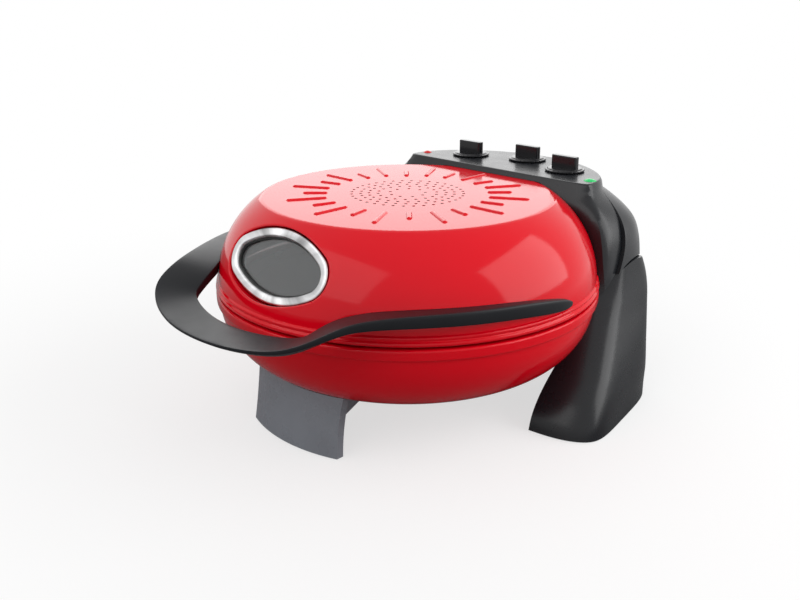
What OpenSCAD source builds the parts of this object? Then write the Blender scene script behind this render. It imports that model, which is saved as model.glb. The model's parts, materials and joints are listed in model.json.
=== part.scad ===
// Electric pizza maker: a round steel bowl and a domed lid around a turning baking stone.
// The lid, its handle and the control housing behind it tip up together about two hinge pins.
// The origin lies on the table under the axis of the stone, with the handle towards -Y. Millimetres.

/* [Bowl] */
// Height of the bowl's flat bottom above the table
bowl_bottom_z = 48; // [44:1:60]
// Radius of the wall's curve
bowl_curve_r = 67; // [60:1:70]
// Step in from the rim's edge to the wall
bowl_wall_in = 3; // [2:0.5:4]
// Thickness of the pressed steel of bowl and lid
sheet = 1.5; // [1:0.1:2]
// Outer radius of the rolled rims of bowl and lid
rim_r = 190; // [188:0.5:194]
// Height of the bowl's rolled rim
bowl_rim_h = 10.5; // [9:0.5:11]

/* [Lid] */
// Height of the lid's flat top above the table
lid_top_z = 210.8; // [205:0.2:214]
// Distance of the curve's centre from the axis
lid_curve_x = 90.3; // [86:0.1:92]
// Radius of the lid's domed side
lid_curve_r = 97.2; // [94:0.1:99]
// Gap between the rims of lid and bowl
seam_gap = 2; // [1:0.25:3]
// Height of the lid's rolled rim
lid_rim_h = 8; // [7:0.5:9]

/* [Top] */
// Number of raised ribs around the lid's top
rib_count = 24; // [12:2:30]
// Width of a rib
rib_w = 6; // [4:0.25:7]
// Height of a rib above the plate
rib_h = 1.5; // [1:0.1:2]
// Distance from the axis to the inner end of the long ribs
long_rib_r1 = 80; // [70:1:85]
// Distance from the axis to the outer end of the long ribs
long_rib_r2 = 120; // [110:1:125]
// Distance from the axis to the outer end of the short ribs
short_rib_r2 = 103; // [98:1:110]
// Diameter of a steam hole
steam_hole_d = 3; // [2:0.25:4]

/* [Window] */
// Half width of the window's ring
window_a = 64.8; // [60:0.2:66]
// Half height of the window's ring
window_b = 33.7; // [31:0.1:35]
// Radius of the ring's narrow ends
window_end_r = 22; // [20:0.5:24]
// Distance of the ring's face from the axis at its centre
window_y = 164.7; // [163:0.1:166]
// Height of the ring's centre
window_z = 172.7; // [171:0.1:174]
// Backward lean of the window
window_lean = 24.8; // [23:0.1:26]
// Width of the ring's band
window_band = 8.5; // [7:0.25:10]
// Thickness of the ring
window_ring_t = 4; // [3:0.25:5]
// Thickness of the glass
glass_t = 4; // [3:0.5:5]

/* [Handle] */
// Distance of the grip's front edge from the axis
handle_reach = 254; // [250:1:258]
// Height of the grip's top above the table
grip_z = 133; // [131:0.5:135]
// Width of the grip, front to back
grip_w = 36; // [32:1:38]
// Thickness of the grip
grip_t = 9; // [7:0.5:11]

/* [Hinge] */
// Distance of the hinge axis behind the oven's axis
hinge_y = 165; // [163:1:168]
// Height of the hinge axis
hinge_z = 74; // [72:1:76]
// Radius of the round shoulder on which the housing turns
shoulder_r = 68; // [66:0.5:69]
// Gap between the shoulder and the housing
shoulder_gap = 1.2; // [0.8:0.1:2]
// Diameter of the hinge pins
hinge_pin_d = 10; // [8:0.5:12]
// Radial running clearance of the pins
hinge_clearance = 0.05; // [0.02:0.01:0.1]
// Thickness of the hinge arms
hinge_arm_t = 6; // [4:0.5:7]

/* [Stand] */
// Distance of the legs' inner faces from the middle
leg_inner_x = 149; // [148:0.5:152]
// How far the rear cover reaches behind the hinge
rear_depth = 89; // [86:1:92]
// Wall thickness of the moulded legs and housing
moulding = 3; // [2.5:0.25:4]
// Distance of the front foot's outer face from the axis, at the table
foot_r = 164; // [160:1:168]
// How far the foot's face leans in on its way up to the bowl
foot_lean = 16; // [12:0.5:18]
// Half width of the front foot at the table
foot_half_w = 60; // [56:1:64]
// Thickness of the front foot
foot_t = 7; // [5:0.5:9]
// Height of the rubber pads that stand out below
pad_h = 1; // [0.5:0.25:2]

/* [Controls] */
// Height of the control panel's top
panel_z = 216.5; // [214:0.5:220]
// Distance of the outer knobs from the middle
knob_x = 65; // [60:1:70]
// Position of the outer knobs along Y
knob_y = 172; // [170:1:176]
// Position of the middle knob along Y
middle_knob_y = 193; // [190:1:196]
// Diameter of the knobs' skirts
knob_d = 42; // [36:1:44]
// Height of a knob's grip above its skirt
knob_grip_h = 13; // [11:0.5:16]
// Width of a knob's grip
knob_grip_w = 31; // [26:1:34]
// Height of the lamps' lenses above the panel
lamp_dome = 2; // [1:0.25:3]
// Diameter of the controls' spindles
spindle_d = 6; // [5:0.5:7]

/* [Oven] */
// Radius of the baking stone
stone_r = 160; // [150:1:165]
// Thickness of the baking stone
stone_t = 12; // [10:0.5:14]
// Height of the stone's underside
stone_z = 104; // [103:0.5:105]
// Diameter of the heating elements' tubes
element_d = 7.5; // [6.5:0.25:8.5]
// Radius of the lower heating element
lower_element_r = 105; // [95:1:115]
// Radius of the upper heating element
upper_element_r = 100; // [90:1:110]
// Thickness of the inner reflectors
liner_t = 0.8; // [0.6:0.1:1.2]
// Diameter of the turntable motor
motor_d = 50; // [46:1:54]
// Height of the turntable motor
motor_h = 17; // [14:0.5:18]

/* [Fits] */
// Radial running clearance of the controls' spindles
spindle_clearance = 0.05; // [0.02:0.01:0.1]
// Clearance between mouldings and the parts that they follow
fit_gap = 0.3; // [0.2:0.05:0.4]
// Radial clearance of screws in their holes
screw_gap = 0.15; // [0.1:0.05:0.3]
// Diameter of the screws
screw_d = 4; // [3:0.5:5]

/* [Hidden] */
$fn = 96;

far = 400;
overlap = 0.5;

bowl_curve_z = bowl_bottom_z + bowl_curve_r;
bowl_flat_r = rim_r - bowl_wall_in - bowl_curve_r;
bowl_rim_centre = [rim_r - bowl_rim_h / 2, bowl_curve_z + bowl_rim_h / 2 - 3];
bowl_top_z = bowl_rim_centre[1] + bowl_rim_h / 2;
lid_bottom_z = bowl_top_z + seam_gap;
lid_rim_centre = [rim_r - lid_rim_h / 2, lid_bottom_z + lid_rim_h / 2];
lid_curve_z = lid_rim_centre[1];

housing_cut_r = shoulder_r + shoulder_gap;
housing_centre_y = hinge_y;
arm_x = leg_inner_x - hinge_arm_t - 4;
pin_r = hinge_pin_d / 2;

// ---------------------------------------------------------------- curves and lofts

// Points on a smooth curve through the given points, with `steps` stretches between neighbours
function smooth(points, steps) = [
    for (i = [0:len(points) - 2], k = [0:steps - 1]) let (
        p0 = points[max(i - 1, 0)],
        p1 = points[i],
        p2 = points[i + 1],
        p3 = points[min(i + 2, len(points) - 1)],
        t = k / steps
    ) (2 * p1 + (p2 - p0) * t + (2 * p0 - 5 * p1 + 4 * p2 - p3) * t * t
        + (3 * p1 - p0 - 3 * p2 + p3) * t * t * t) / 2,
    points[len(points) - 1]
];

// The angles from one to another in even steps
function span(from, step, to) = [for (a = [from:step:to]) a];

// How far a ray at angle `a` runs before it meets a straight side that faces `facing`
function side_reach(a, facing, distance) =
    cos(a - facing) > 0.02 ? distance / cos(a - facing) : 100 * distance;

// How far a ray at angle `a` runs before it meets a circle whose centre lies `offset` ahead along Y
function arc_reach(a, offset, radius) =
    offset * sin(a) + sqrt(pow(radius, 2) - pow(offset * cos(a), 2));

// The least of several reaches, rounded where two of them are alike
function soft_least(reaches, sharpness) =
    pow([for (r = reaches) pow(r, -sharpness)] * [for (r = reaches) 1], -1 / sharpness);

// A closed solid through rings of points, all with the same number of points
module loft(rings) {
    n = len(rings[0]);
    last = len(rings) - 1;
    sides = [
        for (j = [0:last - 1], i = [0:n - 1], half = [0, 1]) let (
            a = j * n + i,
            b = j * n + (i + 1) % n
        ) half == 0 ? [a, a + n, b] : [b, a + n, b + n]
    ];
    polyhedron(
        points = [for (ring = rings, p = ring) p],
        faces = concat(
            [[for (i = [0:n - 1]) i]],
            sides,
            [[for (i = [n - 1:-1:0]) last * n + i]]
        )
    );
}

// ---------------------------------------------------------------- small shared forms

// Points along an arc, without its last one
function arc_points(centre, radius, from, to, steps) = [
    for (i = [0:steps - 1]) let (a = from + (to - from) * i / steps)
        centre + radius * [cos(a), sin(a)]
];

// Oval of four arcs that run into each other, grown on all sides by `grow`
module oval(grow = 0) {
    c = window_a - window_end_r;
    d = (pow(c, 2) - pow(window_b - window_end_r, 2)) / (2 * (window_b - window_end_r));
    big = window_b + d + grow;
    ends = window_end_r + grow;
    turn = atan2(d, c);
    polygon(concat(
        arc_points([c, 0], ends, -turn, turn, 24),
        arc_points([0, -d], big, turn, 180 - turn, 16),
        arc_points([-c, 0], ends, 180 - turn, 180 + turn, 24),
        arc_points([0, d], big, 180 + turn, 360 - turn, 16)
    ));
}

// Rounded bar outline from one round end to the other
module slot_outline(from_r, to_r, width) {
    translate([from_r, 0]) circle(d = width, $fn = 32);
    translate([to_r, 0]) circle(d = width, $fn = 32);
    translate([from_r, -width / 2]) square([to_r - from_r, width]);
}

// Pan head screw that points up, with the underside of its head at the origin
module screw(length, head_h = 2.4) {
    cylinder(d = screw_d, h = length, $fn = 24);
    difference() {
        translate([0, 0, -head_h]) cylinder(r1 = screw_d * 0.7, r2 = screw_d * 0.95, h = head_h, $fn = 32);
        for (turn = [0, 90])
            rotate([0, 0, turn])
                translate([0, 0, -head_h]) cube([screw_d, 0.8, 2], center = true);
    }
}

// Places its children in the window's own frame: X to the side, Y up the glass, Z outward
module at_window() {
    translate([0, -window_y, window_z]) rotate([90 - window_lean, 0, 0]) children();
}

module at_hinge() {
    translate([0, hinge_y, hinge_z]) rotate([90, 0, 90]) children();
}

// ---------------------------------------------------------------- bowl and lid outlines

// Half section of the filled bowl, grown outward by `grow`
module bowl_half(grow = 0) {
    top = bowl_rim_centre[1];
    intersection() {
        union() {
            translate([bowl_flat_r, bowl_curve_z]) circle(r = bowl_curve_r + grow);
            translate([0, bowl_bottom_z - grow]) square([bowl_flat_r, far]);
            translate([0, bowl_curve_z]) square([bowl_flat_r + bowl_curve_r + grow, far]);
        }
        translate([0, bowl_bottom_z - grow]) square([far, top - bowl_bottom_z + grow]);
    }
}

module bowl_rim(grow = 0) {
    translate(bowl_rim_centre) circle(r = bowl_rim_h / 2 + grow, $fn = 48);
}

// Half section of the filled lid, grown outward by `grow`
module lid_half(grow = 0) {
    intersection() {
        union() {
            translate([lid_curve_x, lid_curve_z]) circle(r = lid_curve_r + grow);
            translate([0, lid_curve_z]) square([lid_curve_x, far]);
        }
        translate([0, lid_curve_z]) square([far, lid_top_z + grow - lid_curve_z]);
    }
}

module lid_rim(grow = 0) {
    translate(lid_rim_centre) circle(r = lid_rim_h / 2 + grow, $fn = 48);
}

// Everything that the bowl takes up, with a gap all round, to cut what lies against it
module bowl_clearance(gap = fit_gap) {
    rotate_extrude() {
        bowl_half(gap);
        bowl_rim(gap);
        translate([0, bowl_rim_centre[1] - overlap]) square([bowl_rim_centre[0], bowl_rim_h / 2 + gap]);
    }
}

// Everything that the lid takes up, with a gap all round
module lid_clearance(gap = fit_gap) {
    rotate_extrude() {
        lid_half(gap);
        lid_rim(gap);
        translate([0, lid_bottom_z - gap]) square([lid_rim_centre[0], lid_rim_h / 2 + gap + overlap]);
    }
}

// ---------------------------------------------------------------- base

module bowl_shell() color("red") {
    difference() {
        rotate_extrude() {
            difference() {
                bowl_half();
                bowl_half(-sheet);
                translate([0, bowl_bottom_z + sheet]) square([bowl_flat_r, far]);
            }
            bowl_rim();
        }
        for (p = rail_screws) translate([p[0], p[1], 0]) cylinder(d = screw_d + 2 * screw_gap, h = far);
        for (p = motor_screws) translate([p[0], p[1], 0]) cylinder(d = screw_d + 2 * screw_gap, h = far);
        for (p = foot_screws) translate([p[0], p[1], 0]) cylinder(d = screw_d + 2 * screw_gap, h = far);
    }
}

reflector_z = bowl_bottom_z + 24;
reflector_r = bowl_rim_centre[0] - bowl_rim_h / 2 - 3.5;
reflector_curve_r = 46;
reflector_hole_r = 12;

// Half section of the filled lower reflector
module reflector_half(inset = 0) {
    centre = [reflector_r - reflector_curve_r, reflector_z + reflector_curve_r];
    intersection() {
        union() {
            translate(centre) circle(r = reflector_curve_r - inset);
            square([centre[0], far]);
        }
        translate([0, reflector_z + inset]) square([far, reflector_curve_r - inset]);
    }
}

module lower_reflector() color("gainsboro") {
    rim_z = reflector_z + reflector_curve_r;
    difference() {
        rotate_extrude() {
            difference() {
                reflector_half();
                reflector_half(liner_t);
                translate([-1, 0]) square([reflector_hole_r + 1, far]);
            }
            translate([reflector_r - liner_t, rim_z - liner_t])
                square([bowl_rim_centre[0] - bowl_rim_h / 2 - fit_gap - reflector_r + liner_t, liner_t]);
        }
        for (side = [-1, 1])
            rotate([0, 0, 90 + side * element_gap_angle / 2])
                translate([lower_element_r, 0, 0]) cylinder(d = element_d + 1, h = far / 4);
    }
}

element_gap_angle = 24;

// Heating element: an open ring of tube whose two ends turn away by `drop`
module element(ring_r, drop) {
    rotate([0, 0, 90 + element_gap_angle / 2])
        rotate_extrude(angle = 360 - element_gap_angle)
            translate([ring_r, 0]) circle(d = element_d, $fn = 32);
    for (side = [-1, 1])
        rotate([0, 0, 90 + side * element_gap_angle / 2]) translate([ring_r, 0, 0]) {
            sphere(d = element_d + 0.1, $fn = 32);
            translate([0, 0, min(drop, 0)]) cylinder(d = element_d, h = abs(drop), $fn = 32);
            translate([0, 0, drop < 0 ? drop - 6 : drop]) cylinder(d = element_d / 2, h = 6, $fn = 24);
        }
}

lower_element_z = reflector_z + 14;

module lower_element() color("dimgray")
    translate([0, 0, lower_element_z]) element(lower_element_r, -18);

// Saddles that carry a heating element, from its middle down to a floor `drop` below
module element_clips(ring_r, drop) {
    for (turn = [30, 150, 270])
        rotate([0, 0, turn])
            difference() {
                translate([ring_r - 7, -5, drop < 0 ? drop : 0]) cube([14, 10, abs(drop)]);
                rotate([0, 0, -8]) rotate_extrude(angle = 16)
                    translate([ring_r, 0]) circle(d = element_d + 0.2, $fn = 32);
            }
}

module lower_element_clips() color("silver")
    translate([0, 0, lower_element_z])
        element_clips(lower_element_r, reflector_z + liner_t - lower_element_z);

motor_bracket_t = 1.5;
motor_z = bowl_bottom_z + sheet + motor_bracket_t;
motor_screws = [for (side = [-1, 1]) [side * (motor_d / 2 + 9), 0]];

module turntable_motor() color("silver") {
    translate([0, 0, motor_z]) cylinder(d = motor_d, h = motor_h);
    translate([0, 0, motor_z + motor_h]) cylinder(d = 14, h = 2);
    translate([-12, motor_d / 2 - 4, motor_z + 1]) cube([24, 12, motor_h - 4]);
}

module motor_bracket() color("lightgray")
    difference() {
        translate([0, 0, motor_z - motor_bracket_t])
            linear_extrude(motor_bracket_t)
                difference() {
                    union() {
                        circle(d = motor_d + 4);
                        square([motor_d + 30, 16], center = true);
                    }
                    circle(d = motor_d / 3);
                }
        for (p = motor_screws) translate([p[0], p[1], 0]) cylinder(d = screw_d + 2 * screw_gap, h = far);
    }

// ---- front foot

foot_screws = [for (side = [-1, 1]) [side * 24, -(bowl_flat_r - 8)]];

// Front outline of the foot: a slight waist, then a flare where it meets the bowl
module foot_outline()
    difference() {
        translate([-foot_half_w - 8, pad_h]) square([2 * foot_half_w + 16, bowl_curve_z]);
        for (side = [-1, 1])
            translate([side * (foot_half_w - 1.5 + foot_edge_r), foot_waist_z])
                circle(r = foot_edge_r, $fn = 200);
    }

foot_edge_r = 260;
foot_waist_z = 28;
foot_flange_t = 6;
foot_rib_t = 3;

// Half section of the foot's leaning plate
module foot_plate_half(inset = 0)
    polygon([
        [foot_r - inset, pad_h],
        [foot_r - foot_lean - inset, bowl_curve_z],
        [foot_r - foot_lean - foot_t - inset, bowl_curve_z],
        [foot_r - foot_t - inset, pad_h]
    ]);

module front_foot() color("gray")
    difference() {
        union() {
            intersection() {
                rotate_extrude() foot_plate_half();
                rotate([90, 0, 0]) linear_extrude(far) foot_outline();
            }
            // fixing flange under the bowl's flat bottom, and the ribs that join it to the plate
            intersection() {
                translate([-40, -far, bowl_bottom_z - fit_gap - foot_flange_t])
                    cube([80, far - bowl_flat_r + 24, foot_flange_t]);
                rotate_extrude() polygon([
                    [0, 0], [foot_r - foot_t / 2, pad_h],
                    [foot_r - foot_lean - foot_t / 2, bowl_curve_z], [0, bowl_curve_z]
                ]);
            }
            for (x = [-38, 0, 38])
                translate([x - foot_rib_t / 2, 0, 0]) rotate([90, 0, 90]) linear_extrude(foot_rib_t)
                    polygon([
                        [-foot_r + foot_t, 12], [-foot_r + foot_lean, bowl_bottom_z - foot_flange_t],
                        [-bowl_flat_r + 20, bowl_bottom_z - foot_flange_t],
                        [-bowl_flat_r + 20, bowl_bottom_z - foot_flange_t - 4]
                    ]);
        }
        bowl_clearance();
        for (p = foot_screws)
            translate([p[0], p[1], 0]) {
                cylinder(d = screw_d + 2 * screw_gap, h = far);
                translate([0, 0, -1]) cylinder(d = 9, h = bowl_bottom_z - fit_gap - 4);
            }
        foot_pad_space(0.1);
    }

module foot_pad_space(gap = 0)
    intersection() {
        translate([0, 0, -gap]) rotate_extrude()
            translate([foot_r - foot_t + 1.5 - gap, 0]) square([foot_t - 3.5 + 2 * gap, 3 + 2 * gap]);
        translate([-foot_half_w + 8 - gap, -far, -far / 2]) cube([2 * (foot_half_w - 8 + gap), far, far]);
    }

// ---- legs

// Stations up the right leg:
// [height, front, outer width, outward turn of the side face, rear, reach of the rear corner]
leg_stations = [
    [0, 12, 212, 11, 196, 248],
    [14, 16, 210, 11, 196, 249],
    [28, 24, 206, 10, 196, 250],
    [42, 36, 200, 9, 197, 250],
    [56, 51, 193, 8, 198, 250],
    [74, 69, 184, 6, 199, 250],
    [92, 86, 176, 4, 200, 250],
    [110, 102, 170, 2, 200, 249],
    [128, 112, 166, 1, 200, 245],
    [148, 120, 163, 0, 200, 237]
];
rear_corner_turn = 44;
front_corner_turn = -42;
shoulder_front_turn = 31;
leg_angles = concat(span(-150, 20, -110), span(-96, 8, 60), span(72, 12, 108), span(130, 25, 180));

function leg_ring(s, inset) = let (
    depth = (s[4] - s[1]) / 2,
    centre = [leg_inner_x, s[1] + depth],
    width = s[2] - leg_inner_x,
    rear_corner = [cos(rear_corner_turn), sin(rear_corner_turn)]
) [
    for (a = leg_angles) let (
        r = soft_least([
            side_reach(a, -86, depth - inset),
            side_reach(a, front_corner_turn,
                (width - 10) * cos(front_corner_turn) - (depth - 12) * sin(front_corner_turn) - inset),
            side_reach(a, s[3], width * cos(s[3]) - (depth - 28) * sin(s[3]) - inset),
            side_reach(a, rear_corner_turn, s[5] - centre * rear_corner - inset),
            side_reach(a, 90, depth - inset),
            side_reach(a, 180, 30 - inset)
        ], 10)
    ) [centre[0] + r * cos(a), centre[1] + r * sin(a), s[0]]
];

module leg_loft(inset = 0, steps = 2)
    loft([for (s = smooth(leg_stations, steps)) leg_ring(s, inset)]);

// Side outline of a leg: everything under the round shoulder and its front slope
module leg_side(inset = 0) {
    r = shoulder_r - inset;
    translate([hinge_y, hinge_z]) circle(r = r, $fn = 200);
    polygon([
        [-20, pad_h], [far, pad_h], [far, 30], [hinge_y + 40, 30], [hinge_y, hinge_z],
        [hinge_y - r * cos(shoulder_front_turn), hinge_z + r * sin(shoulder_front_turn)],
        [60, hinge_z + r * sin(shoulder_front_turn)]
    ]);
}

module leg_solid(inset = 0)
    intersection() {
        leg_loft(inset);
        translate([leg_inner_x + inset, 0, 0]) rotate([90, 0, 90]) linear_extrude(far) leg_side(inset);
    }

module right_leg_shape() {
    difference() {
        leg_solid();
        difference() {
            translate([0, 0, -moulding]) leg_solid(moulding);
            bowl_clearance(fit_gap + moulding);
            at_hinge() cylinder(r = pin_r + 6, h = far);
        }
        bowl_clearance();
        at_hinge() cylinder(r = pin_r + hinge_clearance, h = leg_inner_x + 9);
        for (spot = bridge_side_spots)
            translate([0, spot[0], spot[1]]) rotate([0, 90, 0])
                cylinder(d = screw_d + 2 * screw_gap, h = leg_inner_x + moulding + 1, $fn = 24);
    }
}

module right_leg() color("#2b2d30") right_leg_shape();

module left_leg() color("#2b2d30") mirror([1, 0, 0]) right_leg_shape();

leg_cover_t = 2;

module leg_covers() color("#1c1d1f")
    for (side = [0, 1])
        mirror([side, 0, 0])
            translate([0, 0, pad_h]) linear_extrude(leg_cover_t) intersection() {
                polygon([for (p = leg_ring(smooth(leg_stations, 7)[3], moulding + fit_gap)) [p[0], p[1]]]);
                translate([leg_inner_x + moulding + fit_gap, -far]) square(2 * far);
            }

// ---- rear bridge and rails

rail_t = 2.5;
rail_top_z = bowl_bottom_z - 0.05;
bridge_z = 14;
bridge_h = rail_top_z - rail_t - bridge_z;
bridge_front_y = hinge_y + 7;
bridge_mid_y = hinge_y + 40;
bridge_end_y = hinge_y + 28;
bridge_side_spots = [for (z = [bridge_z + 8, bridge_z + bridge_h - 10]) [bridge_front_y + 10, z]];
bridge_bow = bridge_mid_y - bridge_end_y;
bridge_curve_r = (pow(leg_inner_x, 2) + pow(bridge_bow, 2)) / (2 * bridge_bow);

// Plan of the bridge between the legs, bowed to the rear
module bridge_plan(inset = 0)
    intersection() {
        translate([-leg_inner_x + fit_gap + inset, bridge_front_y + inset])
            square([2 * (leg_inner_x - fit_gap - inset), far]);
        translate([0, bridge_mid_y - bridge_curve_r]) circle(r = bridge_curve_r - inset, $fn = 256);
    }

module rear_bridge() color("#2b2d30")
    difference() {
        translate([0, 0, bridge_z]) linear_extrude(bridge_h) bridge_plan();
        translate([0, 0, bridge_z - 1]) linear_extrude(bridge_h - moulding + 1) bridge_plan(moulding);
        for (p = bridge_screws) translate([p[0], p[1], 0]) cylinder(d = screw_d + 2 * screw_gap, h = far);
        translate([0, 0, gland_z]) rotate([-90, 0, 0]) cylinder(r = gland_r, h = far, $fn = 48);
        for (spot = bridge_side_spots)
            translate([-far / 2, spot[0], spot[1]]) rotate([0, 90, 0])
                cylinder(d = screw_d + 2 * screw_gap, h = far, $fn = 24);
    }

gland_r = 7;
gland_z = bridge_z + bridge_h / 2;

// Bush where the mains lead leaves the stand
module cord_gland() color("#1c1d1f")
    translate([0, bridge_mid_y, gland_z]) rotate([-90, 0, 0])
        difference() {
            union() {
                translate([0, 0, -moulding - 3]) cylinder(r = gland_r - 0.1, h = moulding + 6, $fn = 48);
                cylinder(r = gland_r + 3, h = 2.5, $fn = 48);
                translate([0, 0, 2.5]) cylinder(r1 = gland_r, r2 = gland_r - 1.5, h = 5, $fn = 48);
            }
            translate([0, 0, -far / 2]) cylinder(r = 3.6, h = far, $fn = 32);
        }

rail_x = 62;
rail_w = 24;
rail_screws = [for (x = [-rail_x, rail_x], y = [30, 90]) [x, y]];
bridge_screws = [for (x = [-rail_x, rail_x]) [x, bridge_front_y + 16]];

// Two steel rails that carry the bowl from the bridge
module support_rails() color("lightgray")
    for (x = [-rail_x, rail_x])
        difference() {
            translate([x - rail_w / 2, 14, rail_top_z - rail_t])
                cube([rail_w, bridge_front_y + 26 - 14, rail_t]);
            for (p = concat(rail_screws, bridge_screws))
                translate([p[0], p[1], 0]) cylinder(d = screw_d + 2 * screw_gap, h = far);
        }

// Rubber under the foot and under both legs
module rubber_pads() color("#151515") {
    foot_pad_space();
    for (side = [0, 1])
        mirror([side, 0, 0])
            for (p = [[176, 52], [168, 168]])
                translate([p[0], p[1], 0]) cylinder(r = 8, h = pad_h);
}

module hinge_pins() color("silver")
    for (side = [0, 1])
        mirror([side, 0, 0])
            translate([0, hinge_y, hinge_z]) rotate([0, 90, 0]) {
                translate([0, 0, arm_x - 3]) cylinder(r = pin_r, h = leg_inner_x + 8 - arm_x + 3);
                translate([0, 0, arm_x - 4.5]) cylinder(r = pin_r + 3, h = 4);
            }

module base_screws() color("silver") {
    for (p = rail_screws)
        translate([p[0], p[1], rail_top_z - rail_t]) screw(8);
    for (p = bridge_screws)
        translate([p[0], p[1], rail_top_z]) mirror([0, 0, 1]) screw(10);
    for (p = foot_screws)
        translate([p[0], p[1], bowl_bottom_z - fit_gap - 5]) screw(10);
    for (p = motor_screws)
        translate([p[0], p[1], motor_z]) mirror([0, 0, 1]) screw(6);
    for (side = [-1, 1], spot = bridge_side_spots)
        translate([side * (leg_inner_x + moulding), spot[0], spot[1]]) rotate([0, -side * 90, 0]) screw(9);
}

// ---------------------------------------------------------------- lid

// Long and short ribs in turn
module ribs(width)
    for (i = [0:rib_count - 1])
        rotate([0, 0, i * 360 / rib_count])
            slot_outline(
                (i % 2 == 0 ? long_rib_r1 : long_rib_r1 - 2) + rib_w / 2,
                (i % 2 == 0 ? long_rib_r2 : short_rib_r2) - rib_w / 2,
                width
            );

// Rings of steam holes: [radius, count, angle of the first]
steam_rings = [[55, 36, 0], [46, 30, 0], [38, 24, 0], [29, 18, 10], [17.5, 9, 10]];

module steam_holes()
    for (ring = steam_rings, i = [0:ring[1] - 1])
        rotate([0, 0, ring[2] + i * 360 / ring[1]])
            translate([ring[0], 0]) circle(d = steam_hole_d, $fn = 20);

plate_join_r = long_rib_r2 + rib_w;

module lid_shell() color("red") {
    difference() {
        rotate_extrude() {
            difference() {
                lid_half();
                lid_half(-sheet);
                translate([-1, lid_curve_z - 1]) square([lid_curve_x, lid_top_z - lid_curve_z - sheet + 1]);
                translate([-1, lid_curve_z]) square([plate_join_r + 1, far]);
            }
            lid_rim();
        }
        at_window() translate([0, 0, -far / 4]) linear_extrude(far) oval(window_gap);
        handle_screw_holes();
    }
    // top plate with its steam holes, and the ribs pressed up out of it
    difference() {
        union() {
            translate([0, 0, lid_top_z - sheet])
                linear_extrude(sheet)
                    difference() {
                        circle(r = plate_join_r + overlap);
                        steam_holes();
                    }
            translate([0, 0, lid_top_z - overlap]) linear_extrude(rib_h / 2 + overlap) ribs(rib_w);
            translate([0, 0, lid_top_z]) linear_extrude(rib_h) ribs(rib_w - 1.6);
        }
        translate([0, 0, lid_top_z - sheet - 1]) linear_extrude(rib_h + 1) ribs(rib_w - 2 * sheet);
    }
    // pressed pocket around the window
    intersection() {
        at_window() translate([0, 0, -pocket_depth])
            linear_extrude(far) difference() {
                oval(window_gap + sheet);
                oval(window_gap);
            }
        rotate_extrude() lid_half();
    }
    at_window() translate([0, 0, -pocket_depth])
        linear_extrude(sheet) difference() {
            oval(window_gap + sheet);
            oval(-window_band - 2);
        }
}

window_gap = 1.2;
gasket_t = 2;
pocket_depth = window_ring_t + gasket_t + glass_t + sheet;

liner_inset = 11;
liner_top_z = lid_top_z - 12;

// Half section of the filled lid reflector
module lid_liner_half(inset = 0)
    intersection() {
        union() {
            translate([lid_curve_x, lid_curve_z]) circle(r = lid_curve_r - liner_inset - inset);
            translate([0, lid_curve_z]) square([lid_curve_x, far]);
        }
        translate([0, lid_curve_z]) square([far, liner_top_z - inset - lid_curve_z]);
    }

module lid_reflector() color("gainsboro")
    difference() {
        rotate_extrude() {
            difference() {
                lid_liner_half();
                lid_liner_half(liner_t);
            }
            translate([lid_curve_x + lid_curve_r - liner_inset - liner_t, lid_curve_z])
                square([lid_rim_centre[0] - lid_rim_h / 2 - fit_gap
                    - (lid_curve_x + lid_curve_r - liner_inset - liner_t), liner_t]);
        }
        at_window() translate([0, 0, -far / 4]) linear_extrude(far) oval(window_gap + sheet + fit_gap);
        for (side = [-1, 1])
            rotate([0, 0, 90 + side * element_gap_angle / 2])
                translate([upper_element_r, 0, lid_curve_z]) cylinder(d = element_d + 1, h = far);
    }

upper_element_z = liner_top_z - 16;

module upper_element() color("dimgray")
    translate([0, 0, upper_element_z]) element(upper_element_r, 17);

module upper_element_clips() color("silver")
    translate([0, 0, upper_element_z])
        element_clips(upper_element_r, liner_top_z - liner_t - upper_element_z);

module window_ring() color("silver")
    at_window() {
        translate([0, 0, -window_ring_t]) linear_extrude(window_ring_t - 1)
            difference() {
                oval();
                oval(-window_band);
            }
        translate([0, 0, -1 - overlap]) linear_extrude(1 + overlap)
            difference() {
                oval(-1.5);
                oval(-window_band + 1);
            }
    }

module window_gasket() color("#151515")
    at_window() translate([0, 0, -window_ring_t - gasket_t])
        linear_extrude(gasket_t) difference() {
            oval(-0.4);
            oval(-window_band - 1.2);
        }

module window_glass() color("#6b6b6b", 0.6)
    at_window() translate([0, 0, -window_ring_t - gasket_t - glass_t])
        linear_extrude(glass_t) oval(-2);

// ---- handle

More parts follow.
